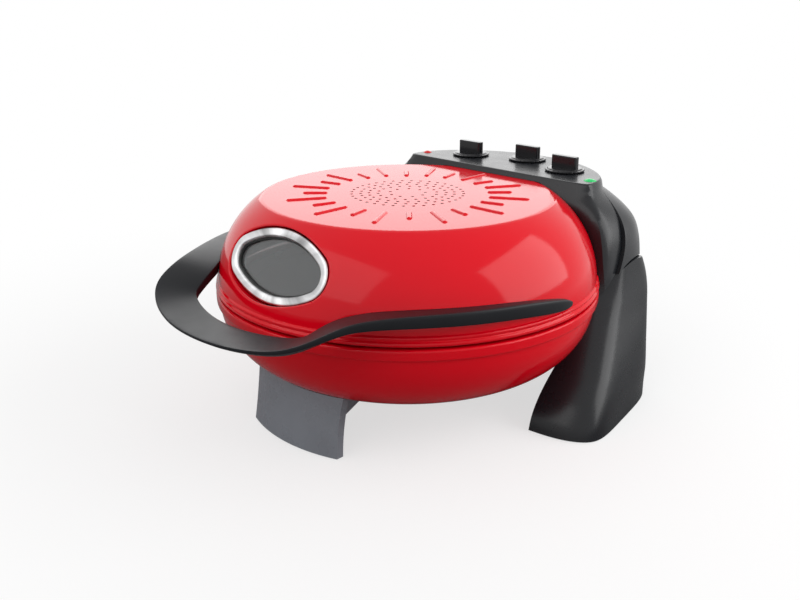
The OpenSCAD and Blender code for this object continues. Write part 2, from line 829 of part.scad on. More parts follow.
// Stations along the right half of the handle's upper outer edge:
// [x, y, top, width inward, thickness, plan angle that the outer face looks to,
//  how much lower the inner edge lies, share of the thickness that the outer edge has]
handle_stations = [
    [0, -handle_reach, grip_z, grip_w, grip_t, -90, 0, 0.3],
    [38, -handle_reach + 3, grip_z + 0.5, grip_w + 1, grip_t, -83, 0, 0.3],
    [75, -240, grip_z + 3, grip_w + 1, grip_t, -72, 1, 0.35],
    [97, -229.5, grip_z + 9, grip_w + 1, grip_t, -58, 4, 0.45],
    [110, -216, grip_z + 16, grip_w + 2, grip_t, -40, 7, 0.55],
    [118, -198, grip_z + 22, grip_w + 1, grip_t + 0.5, -28, 8, 0.7],
    [125, -182, grip_z + 25.5, grip_w, grip_t + 1, -26, 7, 0.85],
    [143.5, -151, grip_z + 26, 32, 11, -32, 4, 1],
    [162, -120, grip_z + 25, 25, 12, -28, 2, 1],
    [176.5, -90, grip_z + 24, 20, 12.5, -23, 1, 1],
    [186.5, -55, grip_z + 22, 15, 13, -14, 0, 1],
    [191, -25, grip_z + 18.5, 12, 13, -7, 0, 1],
    [191, 0, grip_z + 14, 11, 11.5, 0, 0, 1],
    [189.6, 11, grip_z + 10, 9, 7, 6, 0, 1],
    [188.2, 16, grip_z + 7, 7, 3, 8, 0, 1]
];
handle_round = 0.3;

// Rounded band whose underside rises to a thinner outer edge
function handle_ring(s) = let (
    out = [cos(s[5]), sin(s[5]), 0],
    top = [s[0], s[1], s[2]],
    w = s[3],
    h = s[4],
    edge = h * s[7],
    c = h * handle_round,
    e = edge * handle_round,
    section = [
        [0, e], [e * 0.3, e * 0.3], [e, 0],
        [w - c, 0], [w - c * 0.3, c * 0.3], [w, c],
        [w, h - c], [w - c * 0.3, h - c * 0.3], [w - c, h],
        [w * 0.45, h], [e + 0.4 * (w * 0.45 - e), (h + edge) / 2 + (h - edge) * 0.2],
        [e, edge], [e * 0.3, edge - e * 0.3], [0, edge - e]
    ]
) [for (p = section) top - out * p[0] - [0, 0, p[1] + s[6] * p[0] / w]];

function mirrored(s) = [-s[0], s[1], s[2], s[3], s[4], -180 - s[5], s[6], s[7]];

handle_path = smooth(concat(
    [for (i = [len(handle_stations) - 1:-1:1]) mirrored(handle_stations[i])],
    handle_stations
), 2);

handle_screw_z = grip_z + 9;
handle_screw_ys = [-39, -12];
handle_screw_l = 6;

// Distance of a handle screw's head from the middle plane: against the inside of the lid's wall
function handle_screw_seat(y) = let (
    wall_r = lid_curve_x + sqrt(pow(lid_curve_r, 2) - pow(handle_screw_z - lid_curve_z, 2)) - sheet,
    x = sqrt(pow(wall_r, 2) - pow(y, 2))
) x - screw_d * (abs(y) / x + 0.15) - 0.1;

module handle_screw_holes()
    for (side = [-1, 1], y = handle_screw_ys)
        translate([side * (handle_screw_seat(y) - 1), y, handle_screw_z]) rotate([0, side * 90, 0])
            cylinder(d = screw_d + 2 * screw_gap, h = handle_screw_l + 1.3, $fn = 32);

module handle() color("#2b2d30")
    difference() {
        loft([for (s = handle_path) handle_ring(s)]);
        lid_clearance();
        handle_screw_holes();
    }

module handle_screws() color("silver")
    for (side = [-1, 1], y = handle_screw_ys)
        translate([side * handle_screw_seat(y), y, handle_screw_z]) rotate([0, side * 90, 0])
            screw(handle_screw_l, 1.6);

// ---- control housing

// Stations up the housing: [height, front, half width, rear, radius of the rear arc]
cover_step = 4;
housing_rear = hinge_y + rear_depth - cover_step;
housing_stations = [
    [100, 103, 163.5, housing_rear - 21, 206],
    [112, 106, 163, housing_rear - 10.5, 210],
    [122, 108, 162.2, housing_rear - 4, 214],
    [132, 109.5, 161.3, housing_rear - 1, 216],
    [142, 111, 160, housing_rear, 214],
    [160, 112.5, 157, housing_rear, 208],
    [176, 114, 152, housing_rear - 2, 196],
    [187, 116, 146, housing_rear - 6, 179],
    [196, 119, 139, housing_rear - 12, 160],
    [204, 123.5, 131.5, housing_rear - 20.5, 145],
    [panel_z - 4, 128, 125.5, housing_rear - 22.5, 142.5],
    [panel_z - 1.2, 129.2, 124, housing_rear - 24, 141],
    [panel_z, 131, 122, housing_rear - 26, 139]
];
housing_side_angles = concat(span(-26, 3, -8), span(-4, 6, 62), span(72, 9, 81));
housing_angles = concat(
    [90],
    [for (i = [len(housing_side_angles) - 1:-1:0]) 180 - housing_side_angles[i]],
    span(220, 20, 320),
    housing_side_angles
);

function housing_ring(s, inset) = [
    for (a = housing_angles) let (
        r = soft_least([
            side_reach(a, -90, housing_centre_y - s[1] - inset),
            side_reach(a, 0, s[2] - inset),
            side_reach(a, 180, s[2] - inset),
            arc_reach(a, s[3] - s[4] - housing_centre_y, s[4] - inset)
        ], 16)
    ) [r * cos(a), housing_centre_y + r * sin(a), s[0]]
];

// Filled form of the housing, with its walls moved in by `inset` and its top lowered by `lower`
module housing_loft(inset = 0, lower = 0)
    loft([for (s = housing_stations) housing_ring(concat([s[0] - lower], [for (i = [1:4]) s[i]]), inset)]);

// Side outline of what belongs to the top moulding: the panel, and the cheeks down to their tips
module split_side(grow = 0)
    polygon([
        [60, panel_z + 20], [far, panel_z + 20], [far, 206 - grow], [170, 206 - grow],
        for (p = smooth([[164, 205], [156, 196], [150, 180], [146, 164], [139, 148], [128, 132], [112, 114], [98, 100]], 3))
            p + [grow, -grow / 2],
        [60, 90]
    ]);

module split_solid(grow = 0)
    translate([-far / 2, 0, 0]) rotate([90, 0, 90]) linear_extrude(far) split_side(grow);

module hinge_sweep(radius) at_hinge() translate([0, 0, -far / 2]) cylinder(r = radius, h = far, $fn = 256);

lamp_spots = [[-112, 149], [112, 149]];
lamp_hole_r = [5, 6.5];
knob_spots = [[-knob_x, knob_y], [0, middle_knob_y], [knob_x, knob_y]];
spindle_hole_r = spindle_d / 2 + 1;

module control_housing() color("#2b2d30")
    difference() {
        intersection() {
            housing_loft();
            split_solid();
        }
        difference() {
            housing_loft(moulding, moulding);
            for (p = bracket_posts)
                translate([p[0], p[1], bracket_z + bracket_t]) cylinder(r = 4.5, h = far, $fn = 32);
        }
        lid_clearance();
        cylinder(r = rim_r + fit_gap, h = lid_curve_z);
        hinge_sweep(housing_cut_r);
        for (p = knob_spots) translate([p[0], p[1], 0]) cylinder(r = spindle_hole_r, h = far, $fn = 32);
        for (i = [0, 1])
            translate([lamp_spots[i][0], lamp_spots[i][1], 0]) cylinder(r = lamp_hole_r[i], h = far, $fn = 48);
    }

cover_bottom_z = 108;

module rear_cover() color("#2b2d30")
    difference() {
        housing_loft(-cover_step);
        difference() {
            housing_loft(moulding - cover_step, 0);
            hinge_sweep(housing_cut_r + moulding);
            for (side = [0, 1], spot = arm_screw_spots)
                mirror([side, 0, 0]) translate([arm_x + hinge_arm_t + 0.05, spot[0], spot[1]])
                    rotate([0, 90, 0]) cylinder(r = 6, h = far, $fn = 32);
        }
        split_solid(fit_gap);
        for (spot = arm_screw_spots)
            translate([-arm_x - 16, spot[0], spot[1]]) rotate([0, 90, 0])
                cylinder(d = screw_d + 2 * screw_gap, h = 2 * (arm_x + 16), $fn = 24);
        translate([-far, -far, -far]) cube([2 * far, 2 * far, far + cover_bottom_z]);
        lid_clearance();
        hinge_sweep(housing_cut_r);
        for (side = [-1, 1])
            translate([side * (arm_x + hinge_arm_t / 2) - hinge_arm_t / 2 - 0.5, hinge_y - arm_w / 2 - 1, 0])
                cube([hinge_arm_t + 1, arm_w + 2, hinge_z + housing_cut_r + moulding + 0.1]);
    }

arm_w = 24;
arm_h = 87;
arm_screw_spots = [for (y = [-5, 5]) [hinge_y + y, hinge_z + arm_h - 7.5]];

module hinge_arm(side) color("silver")
    difference() {
        translate([side > 0 ? arm_x : -arm_x - hinge_arm_t, 0, 0])
            rotate([90, 0, 90]) linear_extrude(hinge_arm_t) {
                translate([hinge_y, hinge_z]) circle(r = pin_r + 8);
                translate([hinge_y - arm_w / 2, hinge_z]) square([arm_w, arm_h]);
            }
        at_hinge() translate([0, 0, -far / 2]) cylinder(r = pin_r + hinge_clearance, h = far);
        for (spot = arm_screw_spots)
            translate([-far / 2, spot[0], spot[1]]) rotate([0, 90, 0])
                cylinder(d = screw_d + 2 * screw_gap, h = far, $fn = 24);
    }

module left_hinge_arm() hinge_arm(-1);
module right_hinge_arm() hinge_arm(1);

module arm_screws() color("silver")
    for (side = [-1, 1], spot = arm_screw_spots)
        translate([side * arm_x, spot[0], spot[1]]) rotate([0, side * 90, 0]) screw(14);

module lamp(i) {
    lens_r = lamp_hole_r[i] - 0.1;
    dome_r = (lens_r * lens_r + lamp_dome * lamp_dome) / (2 * lamp_dome);
    translate([lamp_spots[i][0], lamp_spots[i][1], panel_z]) intersection() {
        translate([0, 0, lamp_dome - dome_r]) sphere(r = dome_r, $fn = 64);
        translate([0, 0, -moulding - 1]) cylinder(r = lens_r, h = moulding + 1 + lamp_dome, $fn = 48);
    }
    translate([lamp_spots[i][0], lamp_spots[i][1], panel_z - moulding - 9])
        cylinder(r = lamp_hole_r[i] - 1, h = 8.5, $fn = 32);
}

module red_lamp() color("crimson") lamp(0);
module green_lamp() color("limegreen") lamp(1);

bracket_t = 1.5;
bracket_z = panel_z - moulding - 9;
bracket_posts = [for (side = [-1, 1], p = [[93, knob_y - 7], [33, knob_y - 2]]) [side * p[0], p[1]]];
bracket_half = [[100, knob_y - 14], [100, knob_y + 4], [28, middle_knob_y + 17]];

module control_bracket() color("lightgray")
    translate([0, 0, bracket_z]) linear_extrude(bracket_t)
        difference() {
            polygon([
                for (p = bracket_half) p,
                for (i = [len(bracket_half) - 1:-1:0]) [-bracket_half[i][0], bracket_half[i][1]]
            ]);
            for (p = knob_spots) translate(p) circle(r = spindle_hole_r, $fn = 32);
        }

spindle_bore_depth = 8;
spindle_end_gap = 0.5;

module control_body(p, radius, height)
    translate([p[0], p[1], bracket_z - height]) difference() {
        cylinder(r = radius, h = height, $fn = 48);
        translate([0, 0, height - spindle_bore_depth])
            cylinder(r = spindle_d / 2 + spindle_clearance, h = far, $fn = 48);
    }

thermostat_r = 15;
thermostat_h = 16;
timer_r = 20;
timer_h = 20;

module upper_thermostat() color("beige") control_body(knob_spots[0], thermostat_r, thermostat_h);
module lower_thermostat() color("beige") control_body(knob_spots[2], thermostat_r, thermostat_h);
module timer() color("beige") control_body(knob_spots[1], timer_r, timer_h);

// ---- knobs

knob_skirt_h = 3;
knob_grip_t = 8;
knob_bore_depth = 9;

module knob(p, pointer)
    color("#2b2d30") translate([p[0], p[1], panel_z + fit_gap])
        difference() {
            union() {
                linear_extrude(knob_skirt_h - 1) difference() {
                    circle(d = knob_d);
                    for (i = [0:23])
                        rotate([0, 0, i * 15]) translate([knob_d / 2 + 1.6, 0]) circle(d = 4, $fn = 24);
                }
                translate([0, 0, knob_skirt_h - 1]) cylinder(d1 = knob_d - 4, d2 = knob_d - 6, h = 1);
                translate([0, 0, knob_skirt_h - overlap]) linear_extrude(knob_grip_h + overlap) {
                    square([knob_grip_w - knob_grip_t, knob_grip_t], center = true);
                    for (side = [-1, 1])
                        translate([side * (knob_grip_w - knob_grip_t) / 2, 0]) circle(d = knob_grip_t, $fn = 32);
                }
                translate([pointer * (knob_grip_w / 2 - 0.5), 0, knob_skirt_h + knob_grip_h / 2])
                    cube([2.4, 1.6, knob_grip_h], center = true);
            }
            translate([0, 0, -overlap])
                cylinder(r = spindle_d / 2 + spindle_clearance / 2, h = knob_bore_depth + overlap, $fn = 48);
        }

module upper_knob() knob(knob_spots[0], 1);
module timer_knob() knob(knob_spots[1], 1);
module lower_knob() knob(knob_spots[2], -1);

module spindle(p)
    color("silver") translate([p[0], p[1], bracket_z - spindle_bore_depth + spindle_end_gap])
        cylinder(
            d = spindle_d,
            h = panel_z + fit_gap + knob_bore_depth - bracket_z + spindle_bore_depth - spindle_end_gap,
            $fn = 48
        );

module upper_spindle() spindle(knob_spots[0]);
module timer_spindle() spindle(knob_spots[1]);
module lower_spindle() spindle(knob_spots[2]);

// ---------------------------------------------------------------- turntable

carrier_h = 4;

module drive_spindle() color("silver") {
    translate([0, 0, motor_z + motor_h + 2 + fit_gap])
        cylinder(r = 5, h = stone_z - carrier_h - (motor_z + motor_h + 2 + fit_gap));
    translate([0, 0, stone_z - carrier_h - 6]) cylinder(r = 9, h = 6);
}

module stone_carrier() color("lightgray")
    translate([0, 0, stone_z - carrier_h]) {
        linear_extrude(2) {
            circle(r = 24);
            for (turn = [0, 120, 240])
                rotate([0, 0, turn]) translate([0, -9]) square([stone_r - 20, 18]);
        }
        rotate_extrude() translate([stone_r - 32, 0]) square([12, carrier_h]);
    }

module baking_stone() color("tan")
    translate([0, 0, stone_z]) rotate_extrude()
        difference() {
            square([stone_r, stone_t]);
            translate([stone_r, stone_t]) rotate(45) square(3, center = true);
        }

bowl_shell();
lower_reflector();
lower_element();
lower_element_clips();
turntable_motor();
motor_bracket();
front_foot();
left_leg();
right_leg();
leg_covers();
rear_bridge();
support_rails();
rubber_pads();
hinge_pins();
base_screws();
cord_gland();
lid_shell();
lid_reflector();
upper_element();
upper_element_clips();
window_ring();
window_gasket();
window_glass();
handle();
handle_screws();
control_housing();
rear_cover();
left_hinge_arm();
right_hinge_arm();
arm_screws();
red_lamp();
green_lamp();
control_bracket();
upper_thermostat();
lower_thermostat();
timer();
upper_knob();
upper_spindle();
lower_knob();
lower_spindle();
timer_knob();
timer_spindle();
drive_spindle();
stone_carrier();
baking_stone();
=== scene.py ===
# %% [markdown]
# # Dressing an electric pizza maker
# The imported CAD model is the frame: every body, hinge and size comes from it. This notebook draws the visible
# pieces again with finer curves and rounded edges, gives everything a finish, and sets up a small studio.
# All sizes are written in millimetres, as on a drawing, and a mesh is scaled to metres as its last step.

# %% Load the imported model
import json
import math

import bmesh
import bpy
from mathutils import Matrix, Vector


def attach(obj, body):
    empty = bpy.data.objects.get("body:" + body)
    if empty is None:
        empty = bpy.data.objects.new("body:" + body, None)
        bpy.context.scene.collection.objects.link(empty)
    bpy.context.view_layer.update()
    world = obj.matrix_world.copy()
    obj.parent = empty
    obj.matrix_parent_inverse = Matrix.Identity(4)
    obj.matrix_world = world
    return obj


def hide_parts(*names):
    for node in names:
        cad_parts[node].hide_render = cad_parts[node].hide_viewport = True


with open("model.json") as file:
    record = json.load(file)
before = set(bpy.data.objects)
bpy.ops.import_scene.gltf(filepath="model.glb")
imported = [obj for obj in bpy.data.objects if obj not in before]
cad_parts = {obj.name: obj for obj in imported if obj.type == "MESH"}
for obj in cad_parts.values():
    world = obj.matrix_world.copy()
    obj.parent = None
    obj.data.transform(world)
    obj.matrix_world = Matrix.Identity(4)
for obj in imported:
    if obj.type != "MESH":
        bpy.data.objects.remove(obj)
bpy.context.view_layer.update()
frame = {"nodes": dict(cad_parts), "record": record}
MM = 0.001

# %% [markdown]
# ## Finishes
# Every finish is one Principled shader. What is the same all over is typed into its sockets. What varies on a
# real surface comes from noise on Object coordinates: a slow drift of the colour, a change of the roughness, and
# a fine bump for grain, orange peel or brushing. One helper wires that up, so that each finish reads as a recipe.

# %% A helper that wires up a finish
def finish(name, colour, roughness, metallic=0.0, drift=0.05, drift_scale=14.0, blotch=0.05,
           grain_scale=900.0, grain=0.1, grain_depth=0.00005, stretch=(1, 1, 1), **sockets):
    """A procedural material: colour drift, uneven roughness and a fine grain."""
    material = bpy.data.materials.new(name)
    material.use_nodes = True
    nodes, links = material.node_tree.nodes, material.node_tree.links
    shader = nodes["Principled BSDF"]
    for socket, value in dict(sockets, Metallic=metallic).items():
        shader.inputs[socket.replace("_", " ")].default_value = value
    place = nodes.new("ShaderNodeTexCoord")
    mapping = nodes.new("ShaderNodeMapping")
    mapping.inputs["Scale"].default_value = stretch
    links.new(place.outputs["Object"], mapping.inputs["Vector"])

    def noise(scale, detail):
        node = nodes.new("ShaderNodeTexNoise")
        node.inputs["Scale"].default_value = scale
        node.inputs["Detail"].default_value = detail
        links.new(mapping.outputs["Vector"], node.inputs["Vector"])
        return node.outputs["Fac"]

    slow = noise(drift_scale, 3.0)
    ramp = nodes.new("ShaderNodeValToRGB")
    low, high = ramp.color_ramp.elements
    low.position, high.position = 0.3, 0.7
    low.color = [c * (1 - drift) for c in colour] + [1]
    high.color = [min(1.0, c * (1 + drift)) for c in colour] + [1]
    links.new(slow, ramp.inputs["Fac"])
    links.new(ramp.outputs["Color"], shader.inputs["Base Color"])
    spread = nodes.new("ShaderNodeMapRange")
    spread.inputs["To Min"].default_value = max(0.0, roughness - blotch)
    spread.inputs["To Max"].default_value = min(1.0, roughness + blotch)
    links.new(noise(drift_scale * 2.7, 4.0), spread.inputs["Value"])
    links.new(spread.outputs["Result"], shader.inputs["Roughness"])
    bump = nodes.new("ShaderNodeBump")
    bump.inputs["Strength"].default_value = grain
    bump.inputs["Distance"].default_value = grain_depth
    links.new(noise(grain_scale, 2.0), bump.inputs["Height"])
    links.new(bump.outputs["Normal"], shader.inputs["Normal"])
    return material


print("finish() wires colour drift, roughness and grain")

# %% [markdown]
# The enamel is a saturated red under a very smooth top. Fired enamel is never quite flat: a soft orange peel a
# few millimetres wide bends its reflections. The mouldings are charcoal plastic with a satin, finely eroded
# skin, the handle is a duller grade of it, and the front foot is a lighter grey of the same kind.

# %% Enamel and plastics
enamel = finish("red enamel", (0.79, 0.001, 0.011), 0.11, drift=0.03, drift_scale=9, blotch=0.03,
                grain_scale=240, grain=0.10, grain_depth=0.00005, Specular_IOR_Level=0.22)
charcoal = finish("charcoal plastic", (0.010, 0.011, 0.0135), 0.28, drift=0.12, drift_scale=22, blotch=0.05,
                  grain_scale=1500, grain=0.3, grain_depth=0.00004, Specular_IOR_Level=0.34)
dull_black = finish("grip plastic", (0.011, 0.012, 0.0145), 0.34, drift=0.12, drift_scale=22, blotch=0.05,
                    grain_scale=1500, grain=0.4, grain_depth=0.00005, Specular_IOR_Level=0.2)
slate = finish("slate plastic", (0.23, 0.245, 0.275), 0.28, drift=0.06, drift_scale=22, blotch=0.05,
               grain_scale=1500, grain=0.3, grain_depth=0.00006)
knob_black = finish("knob plastic", (0.008, 0.008, 0.010), 0.14, drift=0.1, drift_scale=40, blotch=0.05,
                    grain_scale=1400, grain=0.12, grain_depth=0.00003, Specular_IOR_Level=0.3)
cream = finish("cream plastic", (0.60, 0.54, 0.42), 0.45, drift=0.05, drift_scale=30, grain=0.2)
rubber = finish("black rubber", (0.014, 0.014, 0.014), 0.72, drift=0.2, drift_scale=60, grain_scale=700,
                grain=0.5, grain_depth=0.0001)
shells = (enamel, charcoal, dull_black, slate, knob_black, cream, rubber)
print("plastic, enamel and rubber:", [m.name for m in shells])

# %% [markdown]
# The steam holes are stamped through the sheet. Their walls, and the deep floor of the window's pocket, get a
# dark red finish: painted shade for the shadow in these small recesses.

# %% Painted shade for the steam hole walls and the pocket floor
painted_hole_shade = finish("punched edge", (0.10, 0.006, 0.008), 0.5, drift=0.3, drift_scale=120, grain=0.4,
                 Specular_IOR_Level=0.15)
print("punched walls:", painted_hole_shade.name)

# %% [markdown]
# Metals differ by how they were worked. The window's ring is brushed and bright. Rolled aluminium in the oven
# carries spin marks round its axis, plated steel is dull and even, and the heating tubes have gone brown and
# blue with heat. The stone is fired cordierite: pale, dry, speckled and slightly toasted.

# %% Metals
chrome = finish("bright ring", (0.62, 0.62, 0.63), 0.3, metallic=1.0, drift=0.05, drift_scale=30, blotch=0.05,
                grain_scale=900, grain=0.08, grain_depth=0.00003, stretch=(1, 1, 4))
zinc = finish("plated steel", (0.58, 0.58, 0.60), 0.34, metallic=1.0, drift=0.08, drift_scale=26, blotch=0.1,
              grain_scale=800, grain=0.2, grain_depth=0.00005)
tube = finish("heated tube", (0.13, 0.105, 0.09), 0.5, metallic=0.7, drift=0.45, drift_scale=34, blotch=0.12,
              grain_scale=900, grain=0.4, grain_depth=0.00008)
cordierite = finish("cordierite", (0.66, 0.56, 0.43), 0.86, drift=0.09, drift_scale=110, blotch=0.05,
                    grain_scale=520, grain=0.7, grain_depth=0.0003)


def add_spin_marks(material, tightness=900.0, depth=0.00006):
    """Turns a finish's grain into fine rings round the Z axis, as a lathe leaves them."""
    nodes, links = material.node_tree.nodes, material.node_tree.links
    place = nodes.new("ShaderNodeTexCoord")
    flatten = nodes.new("ShaderNodeVectorMath")
    flatten.operation = "MULTIPLY"
    flatten.inputs[1].default_value = (1, 1, 0)
    links.new(place.outputs["Object"], flatten.inputs[0])
    reach = nodes.new("ShaderNodeVectorMath")
    reach.operation = "LENGTH"
    links.new(flatten.outputs["Vector"], reach.inputs[0])
    rings = nodes.new("ShaderNodeTexNoise")
    rings.noise_dimensions = "1D"
    rings.inputs["Scale"].default_value = tightness
    links.new(reach.outputs["Value"], rings.inputs["W"])
    bump = nodes["Bump"]
    nodes.remove(bump.inputs["Height"].links[0].from_node)
    bump.inputs["Distance"].default_value = depth
    links.new(rings.outputs["Fac"], bump.inputs["Height"])
    return material


aluminium = add_spin_marks(finish("spun aluminium", (0.78, 0.78, 0.79), 0.27, metallic=1.0, drift=0.03,
                                  drift_scale=6, blotch=0.03, grain=0.2))
print("metals and stone:", [m.name for m in (chrome, zinc, tube, cordierite, aluminium)])

# %% [markdown]
# The window is tempered glass that looks mid-grey over the dark oven. The lamps are small coloured lenses: clear
# plastic with a little light of their own, so that they read as lamps from any side.

# %% Glass and lenses
glass = finish("window glass", (0.33, 0.345, 0.35), 0.03, drift=0.02, drift_scale=5, blotch=0.01, grain_scale=60,
               grain=0.03, grain_depth=0.00002, Transmission_Weight=0.75, IOR=1.6)
red_lens = finish("red lens", (0.5, 0.01, 0.01), 0.3, drift=0.1, drift_scale=200, grain=0.05,
                  Specular_IOR_Level=0.3, Emission_Color=(0.6, 0.01, 0.01, 1), Emission_Strength=0.3)
green_lens = finish("green lens", (0.01, 0.36, 0.09), 0.3, drift=0.1, drift_scale=200, grain=0.05,
                    Specular_IOR_Level=0.3, Emission_Color=(0.01, 0.5, 0.12, 1), Emission_Strength=0.5)
print("glass and lenses:", glass.name, red_lens.name, green_lens.name)

# %% [markdown]
# ## Shared ways of making a mesh
# Most of this oven is turned, lofted or pressed, so a few helpers do the work: a closed outline spun round the
# axis, a ring of points drawn up through stations, cutters taken away with Boolean modifiers, and a Bevel
# modifier for the small rounding that every real edge has.

# %% Curves and outlines
def smooth_path(points, steps):
    """Points on a Catmull-Rom curve through the given ones."""
    path = []
    for i in range(len(points) - 1):
        p0, p1 = points[max(i - 1, 0)], points[i]
        p2, p3 = points[i + 1], points[min(i + 2, len(points) - 1)]
        for k in range(steps):
            t = k / steps
            path.append([(2 * b + (c - a) * t + (2 * a - 5 * b + 4 * c - d) * t * t
                          + (3 * b - a - 3 * c + d) * t ** 3) / 2 for a, b, c, d in zip(p0, p1, p2, p3)])
    return path + [list(points[-1])]


def arc(cx, cy, radius, start, end, steps):
    """Points along an arc, with its angles in degrees."""
    turns = [math.radians(start + (end - start) * i / steps) for i in range(steps + 1)]
    return [(cx + radius * math.cos(t), cy + radius * math.sin(t)) for t in turns]


def circle(radius, count):
    return arc(0, 0, radius, 0, 360 - 360 / count, count - 1)


print("a quarter circle in 3 steps:", [(round(x, 2), round(y, 2)) for x, y in arc(0, 0, 1, 0, 90, 3)])

# %% From a bmesh to a finished piece
def new_piece(name, bm, material, sharp=32.0):
    """Closes a bmesh in millimetres into an object at the origin, with faces outward and smooth shading."""
    bmesh.ops.remove_doubles(bm, verts=bm.verts, dist=0.0005)
    bmesh.ops.dissolve_degenerate(bm, edges=bm.edges, dist=0.0002)
    bmesh.ops.recalc_face_normals(bm, faces=bm.faces)
    bmesh.ops.scale(bm, vec=(MM, MM, MM), verts=bm.verts)
    mesh = bpy.data.meshes.new(name)
    bm.to_mesh(mesh)
    bm.free()
    mesh.materials.append(material)
    piece = bpy.data.objects.new(name, mesh)
    bpy.context.scene.collection.objects.link(piece)
    shade(piece, sharp)
    return piece


def shade(piece, sharp=32.0):
    piece.data.shade_smooth()
    piece.data.set_sharp_from_angle(angle=math.radians(sharp))


def steady_normals(piece):
    """Lets the large faces set the shading, so that flat areas stay flat next to their rounded edges."""
    step = piece.modifiers.new("steady", "WEIGHTED_NORMAL")
    step.mode, step.weight, step.keep_sharp = "FACE_AREA", 60, True
    apply_modifiers(piece)


def apply_modifiers(piece):
    """Replaces the mesh by what its modifiers make of it."""
    made = bpy.data.meshes.new_from_object(piece.evaluated_get(bpy.context.evaluated_depsgraph_get()))
    piece.modifiers.clear()
    old, piece.data = piece.data, made
    made.name = old.name
    bpy.data.meshes.remove(old)


def carve(piece, *cutters, operation="DIFFERENCE"):
    """Takes the cutters away from a piece, or keeps only what lies inside them."""
    for cutter in cutters:
        step = piece.modifiers.new("carve", "BOOLEAN")
        step.operation, step.solver, step.object = operation, "EXACT", cutter
    apply_modifiers(piece)


def soften(piece, width, segments=3, angle=35.0, weld=0.05, sharp=32.0):
    """Rounds every sharp edge by a width in millimetres."""
    bm = bmesh.new()
    bm.from_mesh(piece.data)
    bmesh.ops.remove_doubles(bm, verts=bm.verts, dist=weld * MM)
    bmesh.ops.dissolve_limit(bm, angle_limit=math.radians(0.2), verts=bm.verts, edges=bm.edges)
    bm.to_mesh(piece.data)
    bm.free()
    step = piece.modifiers.new("soften", "BEVEL")
    step.width, step.segments, step.limit_method = width * MM, segments, "ANGLE"
    step.angle_limit, step.use_clamp_overlap = math.radians(angle), True
    step.harden_normals = False
    apply_modifiers(piece)
    shade(piece, sharp)


def discard(*objects):
    for o in objects:
        bpy.data.objects.remove(o)


def dress(piece, body, slot, *nodes):
    """Says which body a piece rides on and which CAD nodes it stands for. The slot argument is not used."""
    steady_normals(piece)
    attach(piece, body)
    if nodes:
        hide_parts(*nodes)
    print(f"{piece.name}: {len(piece.data.polygons)} faces, stands for {', '.join(nodes) or 'no node'}")
    return piece


# %% Outlines that are turned, drawn up or pushed out
def spin(bm, outline, steps=192, closed=True, turn=360.0):
    """Turns an outline of (radius, height) points round the Z axis."""
    verts = [bm.verts.new((r, 0, z)) for r, z in outline]
    pairs = zip(verts, verts[1:] + verts[:1]) if closed else zip(verts, verts[1:])
    edges = [bm.edges.new(p) for p in pairs]
    bmesh.ops.spin(bm, geom=verts + edges, cent=(0, 0, 0), axis=(0, 0, 1), angle=math.radians(turn),
                   steps=steps, use_merge=turn == 360.0)
    bmesh.ops.remove_doubles(bm, verts=bm.verts, dist=0.0005)
    return bm


def loft(bm, rings, cap=True):
    """Draws a ring of points up through the others and closes both ends."""
    key = bm.verts.layers.int.get("key") or bm.verts.layers.int.new("key")
    ring = bmesh.ops.create_circle(bm, segments=len(rings[0]), radius=1)["verts"]
    for i, v in enumerate(ring):
        v[key], v.co = i, rings[0][i]
    edges = list({e for v in ring for e in v.link_edges if e.other_vert(v) in ring})
    ends = [list(ring)]
    for points in rings[1:]:
        made = bmesh.ops.extrude_edge_only(bm, edges=edges)["geom"]
        ring = [v for v in made if isinstance(v, bmesh.types.BMVert)]
        for v in ring:
            v.co = points[v[key]]
        inside = set(ring)
        edges = [e for e in made if isinstance(e, bmesh.types.BMEdge) and set(e.verts) <= inside]
    ends.append(ring)
    if cap:
        for end in ends:
            bm.faces.new(sorted(end, key=lambda v: v[key]))
    return bm


def prism(outline, low, high, axes="xyz"):
    """A cutter: a flat outline pushed out between two heights, along the last letter of axes."""
    place = [axes.index(a) for a in "xyz"]

    def point(p, h):
        flat = (p[0], p[1], h)
        return [flat[i] for i in place]

    bm = loft(bmesh.new(), [[point(p, h) for p in outline] for h in (low, high)])
    return new_piece("cutter", bm, enamel)


print("ways to make a form:", ", ".join(f.__name__ for f in (spin, loft, prism)))

# %% [markdown]
# ## The bowl
# The lower half is one deep-drawn steel pan. A turned outline is its natural form, so its section is drawn once,
# with the rolled rim as a rounded band, and spun round the axis. The rim catches two lines of light in the
# photograph, which only a real rounding with a small groove under it gives.

# %% Spin the bowl
sheet, bowl_z, rim_r = 1.5, 48.0, 190.0
outer = [(0, bowl_z)] + arc(120, 115, 67, -90, -3, 40)
rim = ([(187.3, 112.2)] + arc(187.9, 114.1, 1.9, -70, 0, 4) + [(190.0, 117.0)]
       + arc(187.8, 120.3, 2.2, 0, 90, 6) + arc(183.6, 120.7, 1.8, 90, 180, 5))
inner = arc(120, 115, 67 - sheet, -1, -90, 40) + [(0, bowl_z + sheet)]
bowl = new_piece("bowl", spin(bmesh.new(), outer + rim + [(181.8, 118), (184.0, 115.6)] + inner, 224), enamel)
dress(bowl, "base", "red_enamel", "bowl_shell")

# %% [markdown]
# ## The lid
# The lid is a dome with a flat, perforated top. The dome is spun like the bowl. The top plate is drawn flat: one
# big circle, the steam holes and the rib outlines go in as edge loops, and a triangle fill makes the plate
# between them. The ribs are then inset and raised in small steps, which gives them their pressed, rounded form.

